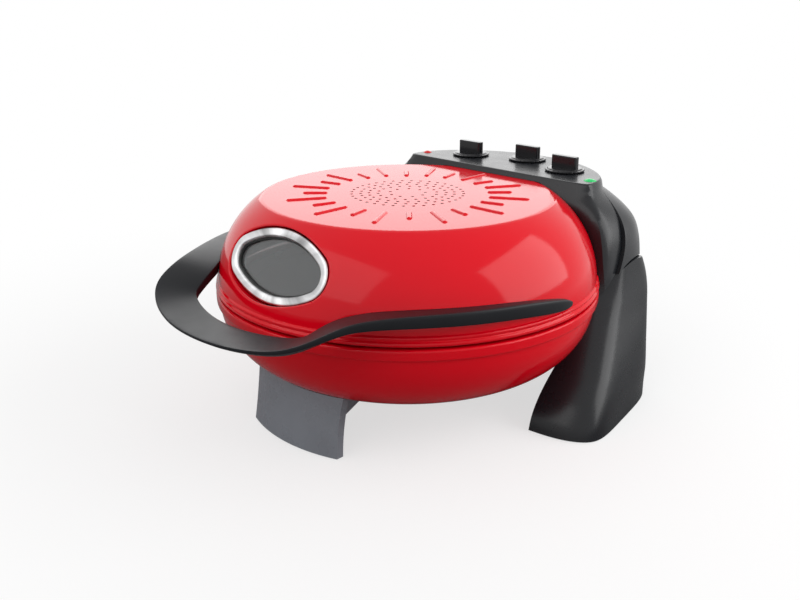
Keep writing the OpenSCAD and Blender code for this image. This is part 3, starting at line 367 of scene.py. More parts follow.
# %% Spin the lid's dome
lid_z, dome_x, dome_r, top_z, plate_r = 128.7, 90.3, 97.2, 210.8, 126.0
crease_turn = math.degrees(math.asin((top_z - lid_z) / dome_r))
crease_r = dome_x + dome_r * math.cos(math.radians(crease_turn))
flange = arc(187.6, 127.15, 2.4, -90, 62, 14) + [(188.3, 129.9)] + arc(187.2, 132.1, 1.9, -52, 60, 12)
dome = arc(dome_x, lid_z, dome_r, 3.4, crease_turn - 1.6, 56)
before, after = dome[-1], (crease_r - 2.6, top_z)
fillet = [tuple((1 - t) ** 2 * a + 2 * t * (1 - t) * b + t * t * c for a, b, c in
                zip(before, (crease_r, top_z), after)) for t in (0.2, 0.4, 0.6, 0.8, 1.0)]
under = ([(plate_r, top_z - sheet), (crease_r - 1.5, top_z - sheet)]
         + arc(dome_x, lid_z, dome_r - sheet, crease_turn - 1.2, 2, 50) + [(185.0, 126.6)])
lid_bm = spin(bmesh.new(), flange + dome + fillet + [(plate_r, top_z)], 256, closed=False)
spin(lid_bm, under + [(185.4, 125.2), flange[0]], 256, closed=False)
print(f"dome crease at radius {crease_r:.1f} mm, {len(lid_bm.faces)} faces")

# %% Draw the top plate with its holes and ribs
# Each ring of holes: radius, how many, first angle. Each rib: where it starts and ends, from the middle
steam_rings = ((55, 36, 0), (46, 30, 0), (38, 24, 0), (29, 18, 10), (17.5, 9, 10))
steam_r, steam_sides = 1.5, 14
long_rib, short_rib, rib_w, rib_count = (80, 120), (78, 103), 6.0, 24
plate = bmesh.new()
bmesh.ops.create_circle(plate, segments=256, radius=plate_r)
hole_edges, rib_loops = [], []
for ring_r, count, first in steam_rings:
    for i in range(count):
        turn = Matrix.Rotation(math.radians(first + i * 360 / count), 4, "Z")
        hole = bmesh.ops.create_circle(plate, segments=steam_sides, radius=steam_r,
                                       matrix=turn @ Matrix.Translation((ring_r, 0, 0)))
        hole_edges += list({e for v in hole["verts"] for e in v.link_edges})
for i in range(rib_count):
    start, end = long_rib if i % 2 == 0 else short_rib
    rib = bmesh.ops.create_circle(plate, segments=28, radius=rib_w / 2)["verts"]
    for v in rib:
        v.co.x += (end if v.co.x > 1e-4 else start) + (-rib_w / 2 if v.co.x > 1e-4 else rib_w / 2)
    bmesh.ops.rotate(plate, verts=rib, matrix=Matrix.Rotation(math.radians(i * 360 / rib_count), 3, "Z"))
    rib_loops.append(rib)
bmesh.ops.triangle_fill(plate, use_beauty=True, edges=list(plate.edges))
rib_faces = [plate.faces.new(loop) for loop in rib_loops]
bmesh.ops.recalc_face_normals(plate, faces=plate.faces)
if rib_faces[0].normal.z < 0:
    bmesh.ops.reverse_faces(plate, faces=plate.faces)
print(f"plate: {len(plate.faces)} faces, {len(hole_edges) // steam_sides} steam holes, {len(rib_faces)} ribs")

# %% Give the plate its thickness, and raise the ribs
bmesh.ops.translate(plate, verts=plate.verts, vec=(0, 0, top_z))
back = bmesh.ops.duplicate(plate, geom=list(plate.faces))
back_faces = [f for f in back["geom"] if isinstance(f, bmesh.types.BMFace)]
bmesh.ops.translate(plate, verts=list({v for f in back_faces for v in f.verts}), vec=(0, 0, -sheet))
bmesh.ops.reverse_faces(plate, faces=back_faces)
wall = bmesh.ops.extrude_edge_only(plate, edges=hole_edges)["geom"]
# Hole walls take slot 1, the painted shade.
for f in wall:
    if isinstance(f, bmesh.types.BMFace):
        f.material_index = 1
bmesh.ops.translate(plate, verts=[v for v in wall if isinstance(v, bmesh.types.BMVert)], vec=(0, 0, -sheet))
bmesh.ops.remove_doubles(plate, verts=plate.verts, dist=0.001)
# Each step of a rib's side: how far inward, how far up
for inward, up in ((0.25, 0.12), (0.45, 0.5), (0.45, 0.42), (0.5, 0.26), (0.6, 0.15), (0.4, 0.05)):
    bmesh.ops.inset_region(plate, faces=rib_faces, thickness=inward, depth=up, use_even_offset=True)
lips = [e for e in plate.edges if e.is_valid and abs(e.verts[0].co.z - top_z) < 1e-4
        and abs(e.verts[1].co.z - top_z) < 1e-4 and e.calc_face_angle(0) > 1.2]
bmesh.ops.bevel(plate, geom=lips, offset=0.3, offset_type="OFFSET", segments=2, profile=0.5, affect="EDGES",
                material=-1)
plate_mesh = bpy.data.meshes.new("plate")
plate.to_mesh(plate_mesh)
plate.free()
lid_bm.from_mesh(plate_mesh)
bpy.data.meshes.remove(plate_mesh)
lid = new_piece("lid", lid_bm, enamel, sharp=28)
# Slot 1 paints shade on the hole walls and on the floor of the window's pocket.
lid.data.materials.append(painted_hole_shade)
print(f"lid: {len(lid.data.polygons)} faces, {len(lips)} hole edges rounded")

# %% [markdown]
# The window sits in a pocket pressed into the dome. Its outline is an oval of four arcs. The pocket's section is
# described by how far each line lies outside the ring's outline and how deep it sits below the ring's face, and
# the outer lines are dropped onto the dome itself, so that the rounded lip runs into it without a step.

# %% The oval and the window's own frame
# Half its width and height, the radius of its ends, its middle, and how far it leans back
win_a, win_b, end_r, win_y, win_z, lean = 64.8, 33.7, 22.0, 164.7, 172.7, math.radians(24.8)
win_out = Vector((0, -math.cos(lean), math.sin(lean)))
win_up = Vector((0, math.sin(lean), math.cos(lean)))
oval_c = win_a - end_r
oval_d = (oval_c ** 2 - (win_b - end_r) ** 2) / (2 * (win_b - end_r))
oval_turn = math.degrees(math.atan2(oval_d, oval_c))


def oval(grow, ends=26, sides=44):
    """The window's outline in its own plane, grown by so many millimetres."""
    small, big = end_r + grow, win_b + oval_d + grow
    return (arc(oval_c, 0, small, -oval_turn, oval_turn, ends)[:-1]
            + arc(0, -oval_d, big, oval_turn, 180 - oval_turn, sides)[:-1]
            + arc(-oval_c, 0, small, 180 - oval_turn, 180 + oval_turn, ends)[:-1]
            + arc(0, oval_d, big, 180 + oval_turn, 360 - oval_turn, sides)[:-1])


def in_window(x, y, depth):
    return Vector((x, -win_y, win_z)) + win_up * y + win_out * depth


def dome_depth(x, y):
    """How far out along the window's own axis the dome lies at a point of the oval's plane."""
    low, high = -40.0, 20.0
    for _ in range(40):
        mid = (low + high) / 2
        p = in_window(x, y, mid)
        inside = (math.hypot(p.x, p.y) - dome_x) ** 2 + (p.z - lid_z) ** 2 < dome_r ** 2
        low, high = (mid, high) if inside else (low, mid)
    return low


def oval_ring(grow, depth, on_dome=False):
    return [in_window(x, y, depth + (dome_depth(x, y) if on_dome else 0)) for x, y in oval(grow)]


def oval_solid(name, section, material, sharp=32.0):
    """Lofts a closed section of (grow, depth) round the oval. Entries with a third value lie on the dome."""
    rings = [oval_ring(*entry) for entry in section]
    bm = loft(bmesh.new(), rings + rings[:1], cap=False)
    return new_piece(name, bm, material, sharp)


def oval_cutter(grow):
    """A plug that runs right through the dome."""
    return new_piece("cutter", loft(bmesh.new(), [oval_ring(grow, -40), oval_ring(grow, 12)]), enamel)


print(f"window: {2 * win_a:.1f} by {2 * win_b:.1f} mm, leaning back {math.degrees(lean):.1f} degrees")

# %% Press the pocket into the dome
ring_t, gasket_t, glass_t, gap = 4.0, 2.0, 4.0, 1.2
seat = -(ring_t + gasket_t + glass_t)
ledge, lip = 10.5, gap + 2.2
cutter = oval_cutter(lip)
carve(lid, cutter)
discard(cutter)
pocket = oval_solid("window_pocket", (
    (lip + 0.8, -0.06, True), (lip, 0.0, True), (gap + 1.5, -0.08, True), (gap + 0.9, -0.3, True),
    (gap + 0.4, -0.75, True), (gap + 0.1, -1.4, True), (gap, -2.2, True), (gap, seat + 0.8),
    (gap - 0.2, seat + 0.25), (gap - 0.8, seat), (-ledge, seat), (-ledge, seat - sheet),
    (gap + sheet, seat - sheet), (gap + sheet, -4.5, True), (lip, -1.6, True), (lip + 0.8, -1.2, True)),
    enamel, sharp=40)
# Faces deep in the pocket take slot 1: painted shade for the shadow on its floor.
for face in pocket.data.polygons:
    depth = (Vector(face.center) / MM - in_window(0, 0, 0)).dot(win_out)
    face.material_index = int(depth < seat + 0.6)
bm = bmesh.new()
bm.from_mesh(lid.data)
bm.from_mesh(pocket.data)
bm.to_mesh(lid.data)
bm.free()
discard(pocket)
shade(lid, 30)
dress(lid, "lid", "red_enamel", "lid_shell")

# %% [markdown]
# A narrow metal ring holds the window. It is brushed round its own middle, so its highlights stretch across the
# marks; a tangent that runs round the window's axis gives that stretch.
# Light and dark sectors that open like a fan are painted reflections in its colour, from a noise that changes
# only with the direction from the middle.

# %% Brush the ring and loft it
def brush_round(material, centre, axis, amount, dark, bright):
    """Brushes a metal round an axis, and paints fan-shaped reflections into its colour."""
    nodes, links = material.node_tree.nodes, material.node_tree.links
    shader = nodes["Principled BSDF"]
    place = nodes["Texture Coordinate"]
    spoke = nodes.new("ShaderNodeVectorMath")
    spoke.operation = "SUBTRACT"
    spoke.inputs[1].default_value = centre
    links.new(place.outputs["Object"], spoke.inputs[0])
    round_it = nodes.new("ShaderNodeVectorMath")
    round_it.operation = "CROSS_PRODUCT"
    round_it.inputs[1].default_value = axis
    links.new(spoke.outputs["Vector"], round_it.inputs[0])
    unit = nodes.new("ShaderNodeVectorMath")
    unit.operation = "NORMALIZE"
    links.new(round_it.outputs["Vector"], unit.inputs[0])
    links.new(unit.outputs["Vector"], shader.inputs["Tangent"])
    shader.inputs["Anisotropic"].default_value = amount
    # The colour ramp paints the reflections: dark and bright sectors that open like a fan round the axis.
    ramp = shader.inputs["Base Color"].links[0].from_node
    painted_fan = ramp.inputs["Fac"].links[0].from_node
    painted_fan.inputs["Scale"].default_value, painted_fan.inputs["Detail"].default_value = 2.2, 9.0
    links.new(unit.outputs["Vector"], painted_fan.inputs["Vector"])
    for stop, at, grey in zip(ramp.color_ramp.elements, (0.32, 0.68), (dark, bright)):
        stop.position, stop.color = at, (grey, grey, grey * 1.01, 1)


brush_round(chrome, in_window(0, 0, 0) * MM, win_out, 0.8, 0.30, 0.92)
window_ring = oval_solid("window_ring", (
    (0, -ring_t), (0, -1.9), (-0.15, -1.2), (-0.55, -0.6), (-1.2, -0.2), (-2.2, -0.02), (-4.4, 0.0),
    (-6.2, -0.12), (-7.1, -0.4), (-7.8, -0.95), (-8.3, -1.8), (-8.5, -2.8), (-8.5, -ring_t)), chrome, sharp=60)
dress(window_ring, "lid", "chrome_trim", "window_ring")

# %% [markdown]
# ## The handle
# A broad, flat band of plastic runs round the front and rises at both corners onto the lid's sides. It is lofted
# through stations that give the place, the height, the width, the thickness and the way the outer face looks,
# then subdivided, which rounds its section as a moulding tool would.

# %% Loft the handle
reach, grip_z, grip_w, grip_t = 254.0, 133.0, 36.0, 9.0
# Each station: x, y, top, width, thickness, way the face looks, drop of the inner edge, outer share of thickness
handle_stations = (
    (0, -reach, grip_z, grip_w, grip_t, -90, 0, 0.3),
    (38, -reach + 3, grip_z + 0.5, grip_w + 1, grip_t, -83, 0, 0.3),
    (75, -240, grip_z + 3, grip_w + 1, grip_t, -72, 1, 0.35),
    (97, -229.5, grip_z + 9, grip_w + 1, grip_t, -58, 4, 0.45),
    (110, -216, grip_z + 16, grip_w + 2, grip_t, -40, 7, 0.55),
    (118, -198, grip_z + 22, grip_w + 1, 9.5, -28, 8, 0.7),
    (125, -182, grip_z + 25.5, grip_w, 10, -26, 7, 0.85),
    (143.5, -151, grip_z + 26, 32, 11, -32, 4, 1),
    (162, -120, grip_z + 25, 25, 12, -28, 2, 1),
    (176.5, -90, grip_z + 24, 20, 12.5, -23, 1, 1),
    (186.5, -55, grip_z + 22, 15, 13, -14, 0, 1),
    (191, -25, grip_z + 18.5, 12, 13, -7, 0, 1),
    (191, 0, grip_z + 14, 11, 11.5, 0, 0, 1),
    (189.6, 11, grip_z + 10, 9, 7, 6, 0, 1),
    (188.2, 16, grip_z + 7, 7, 3, 8, 0, 1))
calm_passes = 6


def handle_ring(s, roundness=0.16):
    """The band's section at one station."""
    x, y, top, w, h, turn, drop, share = s
    edge = h * share
    c, e = h * roundness, edge * roundness
    section = ((0, e), (e * 0.3, e * 0.3), (e, 0), (w * 0.5, 0), (w - c, 0), (w - c * 0.3, c * 0.3), (w, c),
               (w, h - c), (w - c * 0.3, h - c * 0.3), (w - c, h), (w * 0.45, h),
               (e + 0.4 * (w * 0.45 - e), (h + edge) / 2 + (h - edge) * 0.2), (e, edge),
               (e * 0.3, edge - e * 0.3), (0, edge - e))
    out = Vector((math.cos(math.radians(turn)), math.sin(math.radians(turn)), 0))
    return [Vector((x, y, top)) - out * a - Vector((0, 0, b + drop * a / w)) for a, b in section]


left_half = [(-s[0], *s[1:5], -180 - s[5], *s[6:]) for s in handle_stations[:0:-1]]
stations = smooth_path(left_half + list(handle_stations), 4)
rings = [handle_ring(s) for s in stations]
for _ in range(calm_passes):
    rings = rings[:1] + [[(a + 2 * b + c) / 4 for a, b, c in zip(*three)]
                         for three in zip(rings, rings[1:], rings[2:])] + rings[-1:]
handle = new_piece("handle", loft(bmesh.new(), rings), dull_black, sharp=180)
step = handle.modifiers.new("round", "SUBSURF")
step.levels = step.render_levels = 1
apply_modifiers(handle)
print(f"handle: {len(stations)} rings, {len(handle.data.polygons)} faces")

# %% [markdown]
# Where mouldings meet the lid or the bowl they follow it with a small gap. One helper makes the filled form of
# each, grown by that gap, and it serves as the cutter for the handle, the housing and the legs.

# %% Cutters that keep the mouldings off the lid and the bowl
fit = 0.3


def lid_form(grow):
    top = top_z + grow
    a = math.degrees(math.asin((top - lid_z) / (dome_r + grow)))
    outline = ([(0, top)] + arc(dome_x, lid_z, dome_r + grow, a, 3.4, 60)
               + arc(187.2, 132.1, 1.9 + grow, 40, -30, 6) + arc(187.6, 127.15, 2.4 + grow, 40, -90, 8)
               + [(0, 124.75 - grow)])
    return new_piece("cutter", spin(bmesh.new(), outline, 256), enamel)


def bowl_form(grow):
    outline = ([(0, bowl_z - grow)] + arc(120, 115, 67 + grow, -90, -2, 50)
               + arc(187.9, 114.1, 1.9 + grow, -60, 0, 4) + arc(187.8, 120.3, 2.2 + grow, 0, 90, 6)
               + [(0, 122.5 + grow)])
    return new_piece("cutter", spin(bmesh.new(), outline, 256), enamel)


lid_cutter, bowl_cutter = lid_form(fit), bowl_form(fit)
carve(handle, lid_cutter)
soften(handle, 0.6, 2, angle=50)
dress(handle, "lid", "black_plastic", "handle")

# %% [markdown]
# ## Legs, housing and rear cover
# These are the difficult mouldings: soft, flaring forms that all turn about one hinge. Each is lofted through
# rings. A ring's point lies where a ray from the middle first meets a wall, and the least of those reaches is
# taken with a rounding rule, which blends the walls into each other. A round shoulder with its centre on the
# hinge then parts the legs from the housing, so that the lid can swing.

# %% Rings that blend several walls
hinge_y, hinge_z, shoulder_r, shoulder_gap = 165.0, 74.0, 68.0, 1.2
leg_x, pad_h = 149.0, 1.0


def side_reach(a, facing, distance):
    c = math.cos(math.radians(a - facing))
    return distance / c if c > 0.02 else 100 * distance


def arc_reach(a, offset, radius):
    t = math.radians(a)
    return offset * math.sin(t) + math.sqrt(radius ** 2 - (offset * math.cos(t)) ** 2)


def soft_least(reaches, sharpness):
    return sum(r ** -sharpness for r in reaches) ** (-1 / sharpness)


def ray_ring(cx, cy, z, reaches, sharpness, count=150):
    points = []
    for i in range(count):
        a = 90 + i * 360 / count
        r = soft_least(reaches(((a + 180) % 360) - 180), sharpness)
        points.append(Vector((cx + r * math.cos(math.radians(a)), cy + r * math.sin(math.radians(a)), z)))
    return points


print(f"walls 10 mm away to both sides meet at {soft_least((10, 10), 10):.2f} mm in between")

# %% Loft the legs
# Each station: height, front, outer width, outward turn of the side, rear, reach of the rear corner
leg_stations = ((0, 12, 212, 11, 196, 248), (14, 16, 210, 11, 196, 249), (28, 24, 206, 10, 196, 250),
                (42, 36, 200, 9, 197, 250), (56, 51, 193, 8, 198, 250), (74, 69, 184, 6, 199, 250),
                (92, 86, 176, 4, 200, 250), (110, 102, 170, 2, 200, 249), (128, 112, 166, 1, 200, 245),
                (148, 120, 163, 0, 200, 237))
rear_turn, front_turn, slope_turn = 44, -42, 31


def leg_ring(s):
    z, front, width, turn, rear, corner = s
    depth = (rear - front) / 2
    cy, w = front + depth, width - leg_x
    cos, sin = (lambda d: math.cos(math.radians(d))), (lambda d: math.sin(math.radians(d)))

    def reaches(a):
        return (side_reach(a, -86, depth),
                side_reach(a, front_turn, (w - 10) * cos(front_turn) - (depth - 12) * sin(front_turn)),
                side_reach(a, turn, w * cos(turn) - (depth - 28) * sin(turn)),
                side_reach(a, rear_turn, corner - leg_x * cos(rear_turn) - cy * sin(rear_turn)),
                side_reach(a, 90, depth), side_reach(a, 180, 30))

    return ray_ring(leg_x, cy, z, reaches, 10)


def mirrored(points, side):
    return [Vector((side * p.x, p.y, p.z)) for p in points]


leg_path = smooth_path(leg_stations, 7)
shoulder = arc(hinge_y, hinge_z, shoulder_r, -40, 180 - slope_turn, 90)
leg_side = shoulder + [(60, shoulder[-1][1]), (-20, shoulder[-1][1]), (-20, pad_h), (230, pad_h), (230, 30)]
for side, name in ((1, "right_leg"), (-1, "left_leg")):
    leg = new_piece(name, loft(bmesh.new(), [mirrored(leg_ring(s), side) for s in leg_path]), charcoal)
    keep = prism(leg_side, *sorted((side * leg_x, side * 260)), axes="yzx")
    carve(leg, keep, operation="INTERSECT")
    carve(leg, bowl_cutter)
    soften(leg, 1.0)
    discard(keep)
    dress(leg, "base", "black_plastic", name)

# %% [markdown]
# The housing carries the panel and ends in two cheeks that hug the lid. Its rear cover is the same form, grown a
# little, and the two are parted along one line seen from the side.

# %% Loft the housing
# Each station: height, front, half width, rear, radius of the rear arc
panel_z, cover_step = 216.5, 4.0
rear_y = reach - cover_step
housing_stations = (
    (96, 102, 163.5, rear_y - 24, 205), (100, 103, 163.5, rear_y - 21, 206), (112, 106, 163, rear_y - 10.5, 210),
    (122, 108, 162.2, rear_y - 4, 214), (132, 109.5, 161.3, rear_y - 1, 216), (142, 111, 160, rear_y, 214),
    (160, 112.5, 157, rear_y, 208), (176, 114, 152, rear_y - 2, 196), (187, 116, 146, rear_y - 6, 179),
    (196, 119, 139, rear_y - 12, 160), (204, 123.5, 131.5, rear_y - 20.5, 145),
    (panel_z - 4, 128, 125.5, rear_y - 22.5, 142.5), (panel_z - 1.2, 129.2, 124, rear_y - 24, 141),
    (panel_z - 0.3, 130.1, 123, rear_y - 25, 140), (panel_z, 131.2, 121.9, rear_y - 26.1, 139))


def housing_ring(s, grow=0.0):
    z, front, half, rear, rear_r = s

    def reaches(a):
        return (side_reach(a, -90, hinge_y - front + grow), side_reach(a, 0, half + grow),
                side_reach(a, 180, half + grow), arc_reach(a, rear - rear_r - hinge_y, rear_r + grow))

    return ray_ring(0, hinge_y, z, reaches, 16, 220)


housing_path = smooth_path(housing_stations, 4)
split = smooth_path(((164, 205), (156, 196), (150, 180), (146, 164), (139, 148), (128, 132), (112, 114),
                     (98, 100)), 6)


def split_cutter(grow=0.0):
    """What belongs to the top moulding, seen from the side: the panel, and the cheeks down to their tips."""
    edge = [(y + grow, z - grow / 2) for y, z in split]
    outline = [(60, 240), (300, 240), (300, 206 - grow), (170, 206 - grow)] + edge + [(60, 90)]
    return prism(outline, -200, 200, axes="yzx")


sweep = prism(arc(hinge_y, hinge_z, shoulder_r + shoulder_gap, 0, 357, 119), -200, 200, axes="yzx")
rim_block = new_piece("cutter", spin(bmesh.new(), [(0, 80), (rim_r + fit, 80), (rim_r + fit, lid_z), (0, lid_z)],
                                     256), enamel)
housing = new_piece("control_housing", loft(bmesh.new(), [housing_ring(s) for s in housing_path]), charcoal)
top_part = split_cutter()
carve(housing, top_part, operation="INTERSECT")
carve(housing, lid_cutter, rim_block, sweep)
soften(housing, 0.6)
print("housing:", len(housing.data.polygons), "faces")

# %% Loft the rear cover
def cover_grow(z):
    """The cover stands proud of the housing low down, and runs flush into it at the top."""
    t = min(1.0, max(0.0, (204 - z) / 34))
    return cover_step * t * t * (3 - 2 * t)


rear_cover = new_piece("rear_cover", loft(bmesh.new(), [housing_ring(s, cover_grow(s[0])) for s in housing_path]),
                       charcoal)
behind = split_cutter(fit)
floor_cut = prism([(-300, 0), (300, 0), (300, 400), (-300, 400)], 60, 108)
carve(rear_cover, behind, floor_cut, lid_cutter, sweep)
soften(rear_cover, 0.6)
dress(rear_cover, "lid", "black_plastic", "rear_cover")
discard(top_part, behind, floor_cut, sweep, rim_block)

# %% [markdown]
# ## Controls
# Three rotary knobs stand on the panel. Each is a fluted skirt with a straight grip across it and a small pointer
# rib at one end. The skirt is spun and its flutes are pushed in, and the grip is a block with two sizes of bevel:
# wide on its upright corners, small along its top. A red and a green lens sit at the panel's outer corners.

# %% Knobs
knob_spots = {"upper_knob": (-65, 172, 1), "timer_knob": (0, 193, 1), "lower_knob": (65, 172, -1)}
knob_bodies = {"upper_knob": "upper_dial", "timer_knob": "timer_dial", "lower_knob": "lower_dial"}


def knob(name, x, y, pointer):
    """A fluted skirt with a bar across it, and a pointer rib at the bar's end."""
    bm = spin(bmesh.new(), [(0, 0), (19.6, 0), (20.4, 0.3), (20.9, 0.9), (20.9, 1.5), (20.5, 2.0), (19.2, 2.2),
                            (18.6, 2.5), (17.9, 3.1), (16.9, 3.4), (0, 3.4)], 192)
    for v in bm.verts:
        r = math.hypot(v.co.x, v.co.y)
        if r > 19.0:
            flute = max(0.0, math.cos(math.atan2(v.co.y, v.co.x) * 24)) ** 2
            v.co.x, v.co.y = v.co.x * (1 - 0.022 * flute), v.co.y * (1 - 0.022 * flute)
    bar_l, bar_w, bar_h, bar_z = 31, 8, 13.1, 9.4
    bar = bmesh.ops.create_cube(bm, size=1, matrix=Matrix.Translation((0, 0, bar_z))
                                @ Matrix.Diagonal((bar_l, bar_w, bar_h, 1)))
    upright = [e for v in bar["verts"] for e in v.link_edges if abs(e.verts[0].co.z - e.verts[1].co.z) > 5]
    bmesh.ops.bevel(bm, geom=list(set(upright)), offset=2.6, offset_type="OFFSET", segments=5, profile=0.5,
                    affect="EDGES", material=-1)
    top = [e for e in bm.edges if all(abs(v.co.z - bar_z - bar_h / 2) < 1e-3 for v in e.verts)]
    bmesh.ops.bevel(bm, geom=top, offset=1.1, offset_type="OFFSET", segments=3, profile=0.5, affect="EDGES",
                    material=-1)
    rib = bmesh.ops.create_cube(bm, size=1, matrix=Matrix.Translation((pointer * 15.0, 0, 9.5))
                                @ Matrix.Diagonal((2.4, 1.8, 12.8, 1)))
    edges = list({e for v in rib["verts"] for e in v.link_edges})
    bmesh.ops.bevel(bm, geom=edges, offset=0.4, offset_type="OFFSET", segments=2, profile=0.5, affect="EDGES",
                    material=-1)
    bmesh.ops.translate(bm, verts=bm.verts, vec=(x, y, panel_z + fit))
    return new_piece(name, bm, knob_black, sharp=30)


for name, (x, y, pointer) in knob_spots.items():
    dress(knob(name + "_cap", x, y, pointer), knob_bodies[name], "black_plastic", name)

# %% [markdown]
# Each lamp is a low dome of coloured plastic that stands in a hole of the panel. The hole is cut first, then the
# lens is spun to fit it.

# %% Lamps and the holes for them
lamps = (("red_lamp", -112, 149, 5.0, red_lens, "red_lens"),
         ("green_lamp", 112, 149, 6.5, green_lens, "green_lens"))
lens_rise = 1.9
for name, x, y, r, material, slot_name in lamps:
    hole = prism([(x + a, y + b) for a, b in circle(r, 48)], panel_z - 4, panel_z + 4)
    carve(housing, hole)
    discard(hole)
    rise = [(r * (1 - t) ** 0.5 * 0.985, lens_rise * t) for t in (0.04, 0.12, 0.24, 0.4, 0.58, 0.76, 0.9, 0.97)]
    bm = spin(bmesh.new(), [(0, -4), (r - 0.1, -4), (r - 0.1, -0.3)] + rise + [(0, lens_rise + 0.05)], 64)
    bmesh.ops.translate(bm, verts=bm.verts, vec=(x, y, panel_z))
    dress(new_piece(name + "_lens", bm, material), "lid", slot_name, name)
shade(housing)
dress(housing, "lid", "black_plastic", "control_housing")

# %% [markdown]
# ## The oven inside
# With the lid up, the inside shows: a spun aluminium pan and hood, heating tubes on saddles, and the stone on its
# carrier. The pan, the hood and the stone are turned forms and are spun again with fine steps.

# %% Spin the reflectors and the stone
liner = 0.8
pan_r, pan_z, pan_curve = 176.0, 72.0, 46.0
pan_out = arc(pan_r - pan_curve, pan_z + pan_curve, pan_curve, -90, 0, 28)
pan_in = arc(pan_r - pan_curve, pan_z + pan_curve, pan_curve - liner, 0, -90, 28)
pan = new_piece("oven_pan", spin(bmesh.new(), [(12, pan_z)] + pan_out + [(179.0, 118)]
                                 + pan_in + [(12, pan_z + liner)], 192), aluminium)
dress(pan, "base", "polished_aluminium", "lower_reflector")
stone_r, stone_z, stone_t = 160.0, 104.0, 12.0
stone = new_piece("stone", spin(bmesh.new(), [(0, stone_z), (stone_r - 1.5, stone_z)]
                                + arc(stone_r - 1.5, stone_z + 1.5, 1.5, -90, 0, 4)
                                + arc(stone_r - 2.2, stone_z + stone_t - 2.2, 2.2, 0, 90, 5)
                                + [(0, stone_z + stone_t)], 192), cordierite)
dress(stone, "turntable", "cordierite", "baking_stone")
hood_top, hood_r, hood_rim = top_z - 12, dome_r - 11, 181.6
out_top = math.degrees(math.asin((hood_top - lid_z) / hood_r))
in_top = math.degrees(math.asin((hood_top - liner - lid_z) / (hood_r - liner)))
hood_outline = ([(0, hood_top - liner)] + arc(dome_x, lid_z, hood_r - liner, in_top, 0, 36)
                + [(hood_rim, lid_z), (hood_rim, lid_z + liner)]
                + arc(dome_x, lid_z, hood_r, 0.6, out_top, 36) + [(0, hood_top)])
hood = new_piece("oven_hood", spin(bmesh.new(), hood_outline, 192), aluminium)
opening = oval_cutter(gap + sheet + fit)
carve(hood, opening)
discard(opening)
shade(hood)
dress(hood, "lid", "polished_aluminium", "lid_reflector")

# %% [markdown]
# ## Plain parts that keep their CAD shape
# Small and hidden parts already have the right shape. Those with visible edges get a copy whose triangles are
# merged into flat faces and whose edges are rounded. The rest only gets its finish.

# %% Soften copies of the plain mouldings and fittings
def softened_copy(node, name, material, body, slot_name, width):
    piece = bpy.data.objects.new(name, frame["nodes"][node].data.copy())
    bpy.context.scene.collection.objects.link(piece)
    piece.data.materials.clear()
    piece.data.materials.append(material)
    soften(piece, width, 2, angle=40, weld=0.01)
    return dress(piece, body, slot_name, node)


softened_copy("front_foot", "foot", slate, "base", "grey_plastic", 0.7)
softened_copy("rear_bridge", "bridge", charcoal, "base", "black_plastic", 0.8)
softened_copy("support_rails", "rails", zinc, "base", "steel", 0.3)
softened_copy("leg_covers", "leg_bottoms", charcoal, "base", "black_plastic", 0.4)
softened_copy("cord_gland", "gland", rubber, "base", "black_plastic", 0.3)
softened_copy("left_hinge_arm", "left_arm", zinc, "lid", "steel", 0.4)
softened_copy("right_hinge_arm", "right_arm", zinc, "lid", "steel", 0.4)

# %% Finish the nodes that stay as they are
finishes = {"steel": zinc, "element_steel": tube, "rubber": rubber, "cream_plastic": cream, "window_glass": glass,
            "black_plastic": charcoal, "grey_plastic": slate, "cordierite": cordierite, "chrome_trim": chrome,
            "polished_aluminium": aluminium, "red_enamel": enamel, "red_lens": red_lens, "green_lens": green_lens}
slots = {s["node"]: s["material_slot"] for s in frame["record"]["subparts"]}
for node, piece in frame["nodes"].items():
    material = finishes[slots[node]]
    if piece.data.materials:
        for i in range(len(piece.data.materials)):
            piece.data.materials[i] = material
    else:
        piece.data.materials.append(material)
print("kept CAD nodes:", sorted(n for n, o in frame["nodes"].items() if not o.hide_render))
discard(lid_cutter, bowl_cutter)

# %% [markdown]
# ## The studio
# The oven stands on a plain white floor in a white room, as in a catalogue. Camera, glossy and transmitted rays
# see pure white, while the light itself stays at a plain level. The floor keeps the shadow near the oven and
# fades to white further out, later for glossy rays, so that the oven's underside mirrors its own shadow. Two
# large soft boxes draw the long highlights on the enamel and the plastic, and one low behind the oven gives the
# top plate its pale sheen.

# %% Floor and world
def any_of(nodes, links, rays, *kinds):
    """1 where the ray is of any of these kinds, else 0."""
    out = rays.outputs[kinds[0]]
    for kind in kinds[1:]:
        either = nodes.new("ShaderNodeMath")
        either.operation = "MAXIMUM"
        links.new(out, either.inputs[0])
        links.new(rays.outputs[kind], either.inputs[1])
        out = either.outputs[0]
    return out


bm = bmesh.new()
bmesh.ops.create_grid(bm, x_segments=1, y_segments=1, size=6)
floor_mesh = bpy.data.meshes.new("floor")
bm.to_mesh(floor_mesh)
bm.free()
floor_piece = bpy.data.objects.new("floor", floor_mesh)
bpy.context.scene.collection.objects.link(floor_piece)
paper = bpy.data.materials.new("white paper")
paper.use_nodes = True
nodes, links = paper.node_tree.nodes, paper.node_tree.links
matt = nodes["Principled BSDF"]
matt.inputs["Roughness"].default_value = 0.9
matt.inputs["Specular IOR Level"].default_value = 0.1
place = nodes.new("ShaderNodeTexCoord")
reach = nodes.new("ShaderNodeVectorMath")
reach.operation = "LENGTH"
links.new(place.outputs["Object"], reach.inputs[0])
fade = nodes.new("ShaderNodeMapRange")
fade.interpolation_type = "SMOOTHSTEP"
for socket, value in (("From Min", 0.22), ("From Max", 0.85), ("To Min", 0.65), ("To Max", 1.0)):
    fade.inputs[socket].default_value = value
links.new(reach.outputs["Value"], fade.inputs["Value"])
mirrored = nodes.new("ShaderNodeMapRange")
